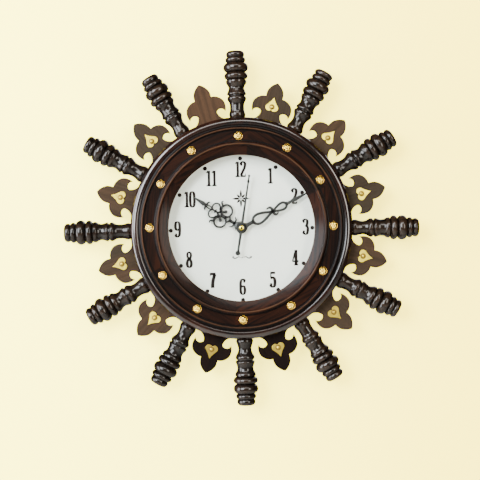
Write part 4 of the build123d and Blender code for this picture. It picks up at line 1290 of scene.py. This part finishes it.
class CLOCK_OT_movement(bpy.types.Operator):
    """Battery movement, its wheels, the cell, the hanger and the screws"""
    bl_idname = "clock.movement"
    bl_label = "Movement"

    def execute(self, context):
        refined("movement_case", [black_plastic()], "root", 0.35)
        refined("movement_cover", [black_plastic()], "root", 0.2)
        refined("setting_knob", [white_plastic()], "minute_wheel", 0.12)
        refined("hanger_plate", [steel()], "root", 0.12)
        refined("mounting_nut", [brass()], "root", 0.2)
        acetal = material("acetal", moulded, (0.72, 0.71, 0.66, 1.0), 0.30, 0.04)
        for node in ("rotor", "intermediate_wheel", "seconds_wheel", "third_wheel", "centre_wheel",
                     "cannon_pinion", "minute_wheel", "hour_wheel"):
            paint(node, acetal)
        for node in ("stator", "battery_contacts"):
            paint(node, steel())
        paint("rubber_washer", material("black_rubber", moulded, (0.012, 0.012, 0.012, 1.0), 0.7))
        paint("circuit_board", material("laminate", laminate_finish, (0.03, 0.16, 0.05)))
        paint("coil", material("winding", winding_finish, (0.55, 0.22, 0.08, 1.0)))
        self.cell()
        self.screws()
        return {"FINISHED"}

    def cell(self):
        """The cell: jacket with rolled ends, a flat negative cap and a positive nub."""
        low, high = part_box("aa_cell")
        r = (high.z - low.z) / 2 / MM
        x0, x1 = low.x / MM, high.x / MM - 1.0
        profile = join(       # (radius, x) from the flat end to the nub
            (0, x0 + 0.25), (4.6, x0 + 0.25), (4.7, x0),
            arc((r - 0.9, x0), (r - 0.26, x0 + 0.26), (r, x0 + 0.9), 6),
            arc((r, x1 - 0.9), (r - 0.26, x1 - 0.26), (r - 0.9, x1), 6),
            (4.2, x1), (4.0, x1 - 0.2), (2.75, x1 - 0.1), (2.75, x1 + 0.8), (2.5, x1 + 1.0), (0, x1 + 1.0))
        grid = lathe(profile, 64)
        middle_y, middle_d = (low.z + high.z) / 2 / MM, -(low.y + high.y) / 2 / MM
        lying = np.stack([grid[..., 2], middle_y + grid[..., 0], middle_d + grid[..., 1]], -1)
        jacket = material("cell_jacket", cell_finish, (0.012, 0.03, 0.09, 1.0), (0.55, 0.27, 0.08, 1.0))
        shape = Surface().grid(lying[:3], columns=True, slot=1).grid(lying[2:-6], columns=True)
        shape.grid(lying[-7:], columns=True, slot=1)
        shape.build("aa_cell_jacketed", [jacket, steel()], "battery", "cell_jacket", ["aa_cell"])

    def screws(self):
        """Four pan heads on the board's edge and two flat heads in the hanger plate."""
        shape = Surface()
        board_r, hanger_x = BACK_R - 3.8, 13.0
        for k in range(4):
            a = radians(45 + 90 * k)
            shape.grid(screw_head(board_r * cos(a), board_r * sin(a), 3.4, 1.9, BOARD_D[0]), columns=True)
        for x in (-hanger_x, hanger_x):
            shape.grid(screw_head(x, HANGER_Y, 2.8, 0.5, 0.55), columns=True)
        shape.build("screws_cross", [steel()], "root", "steel", ["screws"])


# ------------------------------------------------------------------ stage
def flat_panel(name, corners, finish):
    """A four-cornered panel of the stage, in metres."""
    mesh = bpy.data.meshes.new(name)
    mesh.from_pydata(corners, [], [(0, 1, 2, 3)])
    mesh.materials.append(finish)
    panel = bpy.data.objects.new(name, mesh)
    bpy.context.scene.collection.objects.link(panel)
    return panel


VIEW_X, VIEW_Z, VIEW_LEAN = -0.0019, -0.0127, -1.2    # camera's place in metres, lean in degrees
# Soft rectangular lights that point at the clock: name, place, width and height, power and colour.
LAMPS = (
    ("window", (-1.45, -1.95, 0.80), (1.3, 1.7), 270.0, (0.93, 0.97, 1.0)),
    ("room", (1.35, -1.95, 0.35), (0.8, 1.4), 75.0, (1.0, 0.94, 0.84)),
    ("ceiling", (0.1, -1.8, 1.5), (1.6, 0.7), 55.0, (1.0, 0.96, 0.90)),
    ("left_side", (-2.0, -0.55, 0.0), (0.9, 1.8), 130.0, (0.95, 0.97, 1.0)),
    ("rear", (0.8, 2.4, 1.2), (1.6, 1.6), 38.0, (1.0, 0.98, 0.95)),
)


def lamp(name, place, size, power, tint):
    """Sets up one of the lights."""
    data = bpy.data.lights.new(name, "AREA")
    data.shape = "RECTANGLE"
    data.size, data.size_y = size
    data.energy, data.color = power, tint
    light = bpy.data.objects.new(name, data)
    bpy.context.scene.collection.objects.link(light)
    light.rotation_euler = (Vector() - Vector(place)).to_track_quat("-Z", "Y").to_euler()
    light.location = place


class CLOCK_OT_stage(bpy.types.Operator):
    """Wall, floor, soft light and camera"""
    bl_idname = "clock.stage"
    bl_label = "Stage"

    def execute(self, context):
        s = sizes()
        scene = context.scene
        y, w, low, high, far = 0.0006, 3.0, -1.3, 2.2, 3.5
        wall = flat_panel("wall", [(-w, y, low), (w, y, low), (w, y, high), (-w, y, high)],
                          material("wall_paint", wall_finish, colour(tints().wall), s.wall_glow))
        wall.visible_diffuse = wall.visible_glossy = False
        wall.visible_transmission = wall.visible_shadow = False
        flat_panel("floor", [(-w, -far, low), (w, -far, low), (w, far, low), (-w, far, low)],
                   material("floor_paint", moulded, (0.72, 0.70, 0.64, 1.0), 0.7, 0.05, 400.0))
        for one in LAMPS:
            lamp(*one)
        daylight = bpy.data.worlds.new("daylight")
        daylight.use_nodes = True
        background = daylight.node_tree.nodes["Background"]
        background.inputs["Color"].default_value = (0.96, 0.95, 0.90, 1.0)
        background.inputs["Strength"].default_value = 0.06
        scene.world = daylight
        data = bpy.data.cameras.new("view")
        data.sensor_width = 36.0
        data.lens = data.sensor_width * (s.view_distance - ARM_D * MM) / s.view_width
        data.clip_start = 0.01
        camera = bpy.data.objects.new("view", data)
        scene.collection.objects.link(camera)
        place = Matrix.Translation((VIEW_X, -s.view_distance, VIEW_Z))
        level = Matrix.Rotation(radians(90), 4, "X")
        lean = Matrix.Rotation(radians(VIEW_LEAN), 4, "Z")
        camera.matrix_world = place @ level @ lean
        scene.camera = camera
        return {"FINISHED"}


class CLOCK_PT_panel(bpy.types.Panel):
    """Sizes, colours and building steps of the clock"""
    bl_idname = "CLOCK_PT_panel"
    bl_label = "Sunburst Clock"
    bl_space_type = "VIEW_3D"
    bl_region_type = "UI"
    bl_category = "Clock"

    def draw(self, context):
        for group in (context.scene.clock_sizes, context.scene.clock_colours):
            for name in group.__annotations__:
                self.layout.prop(group, name)
        for step in STEPS:
            self.layout.operator(step.bl_idname)


STEPS = (CLOCK_OT_stage, CLOCK_OT_ring, CLOCK_OT_spindles, CLOCK_OT_fretwork, CLOCK_OT_brass, CLOCK_OT_dial,
         CLOCK_OT_glass, CLOCK_OT_hands, CLOCK_OT_movement)
CLASSES = (ClockSizes, ClockColours, *STEPS, CLOCK_PT_panel)


def register():
    for one in CLASSES:
        bpy.utils.register_class(one)
    bpy.types.Scene.clock_sizes = PointerProperty(type=ClockSizes)
    bpy.types.Scene.clock_colours = PointerProperty(type=ClockColours)


def unregister():
    del bpy.types.Scene.clock_colours
    del bpy.types.Scene.clock_sizes
    for one in reversed(CLASSES):
        bpy.utils.unregister_class(one)


def main():
    register()
    for step in STEPS:
        group, name = step.bl_idname.split(".")
        getattr(getattr(bpy.ops, group), name)()


if __name__ == "__main__":
    main()
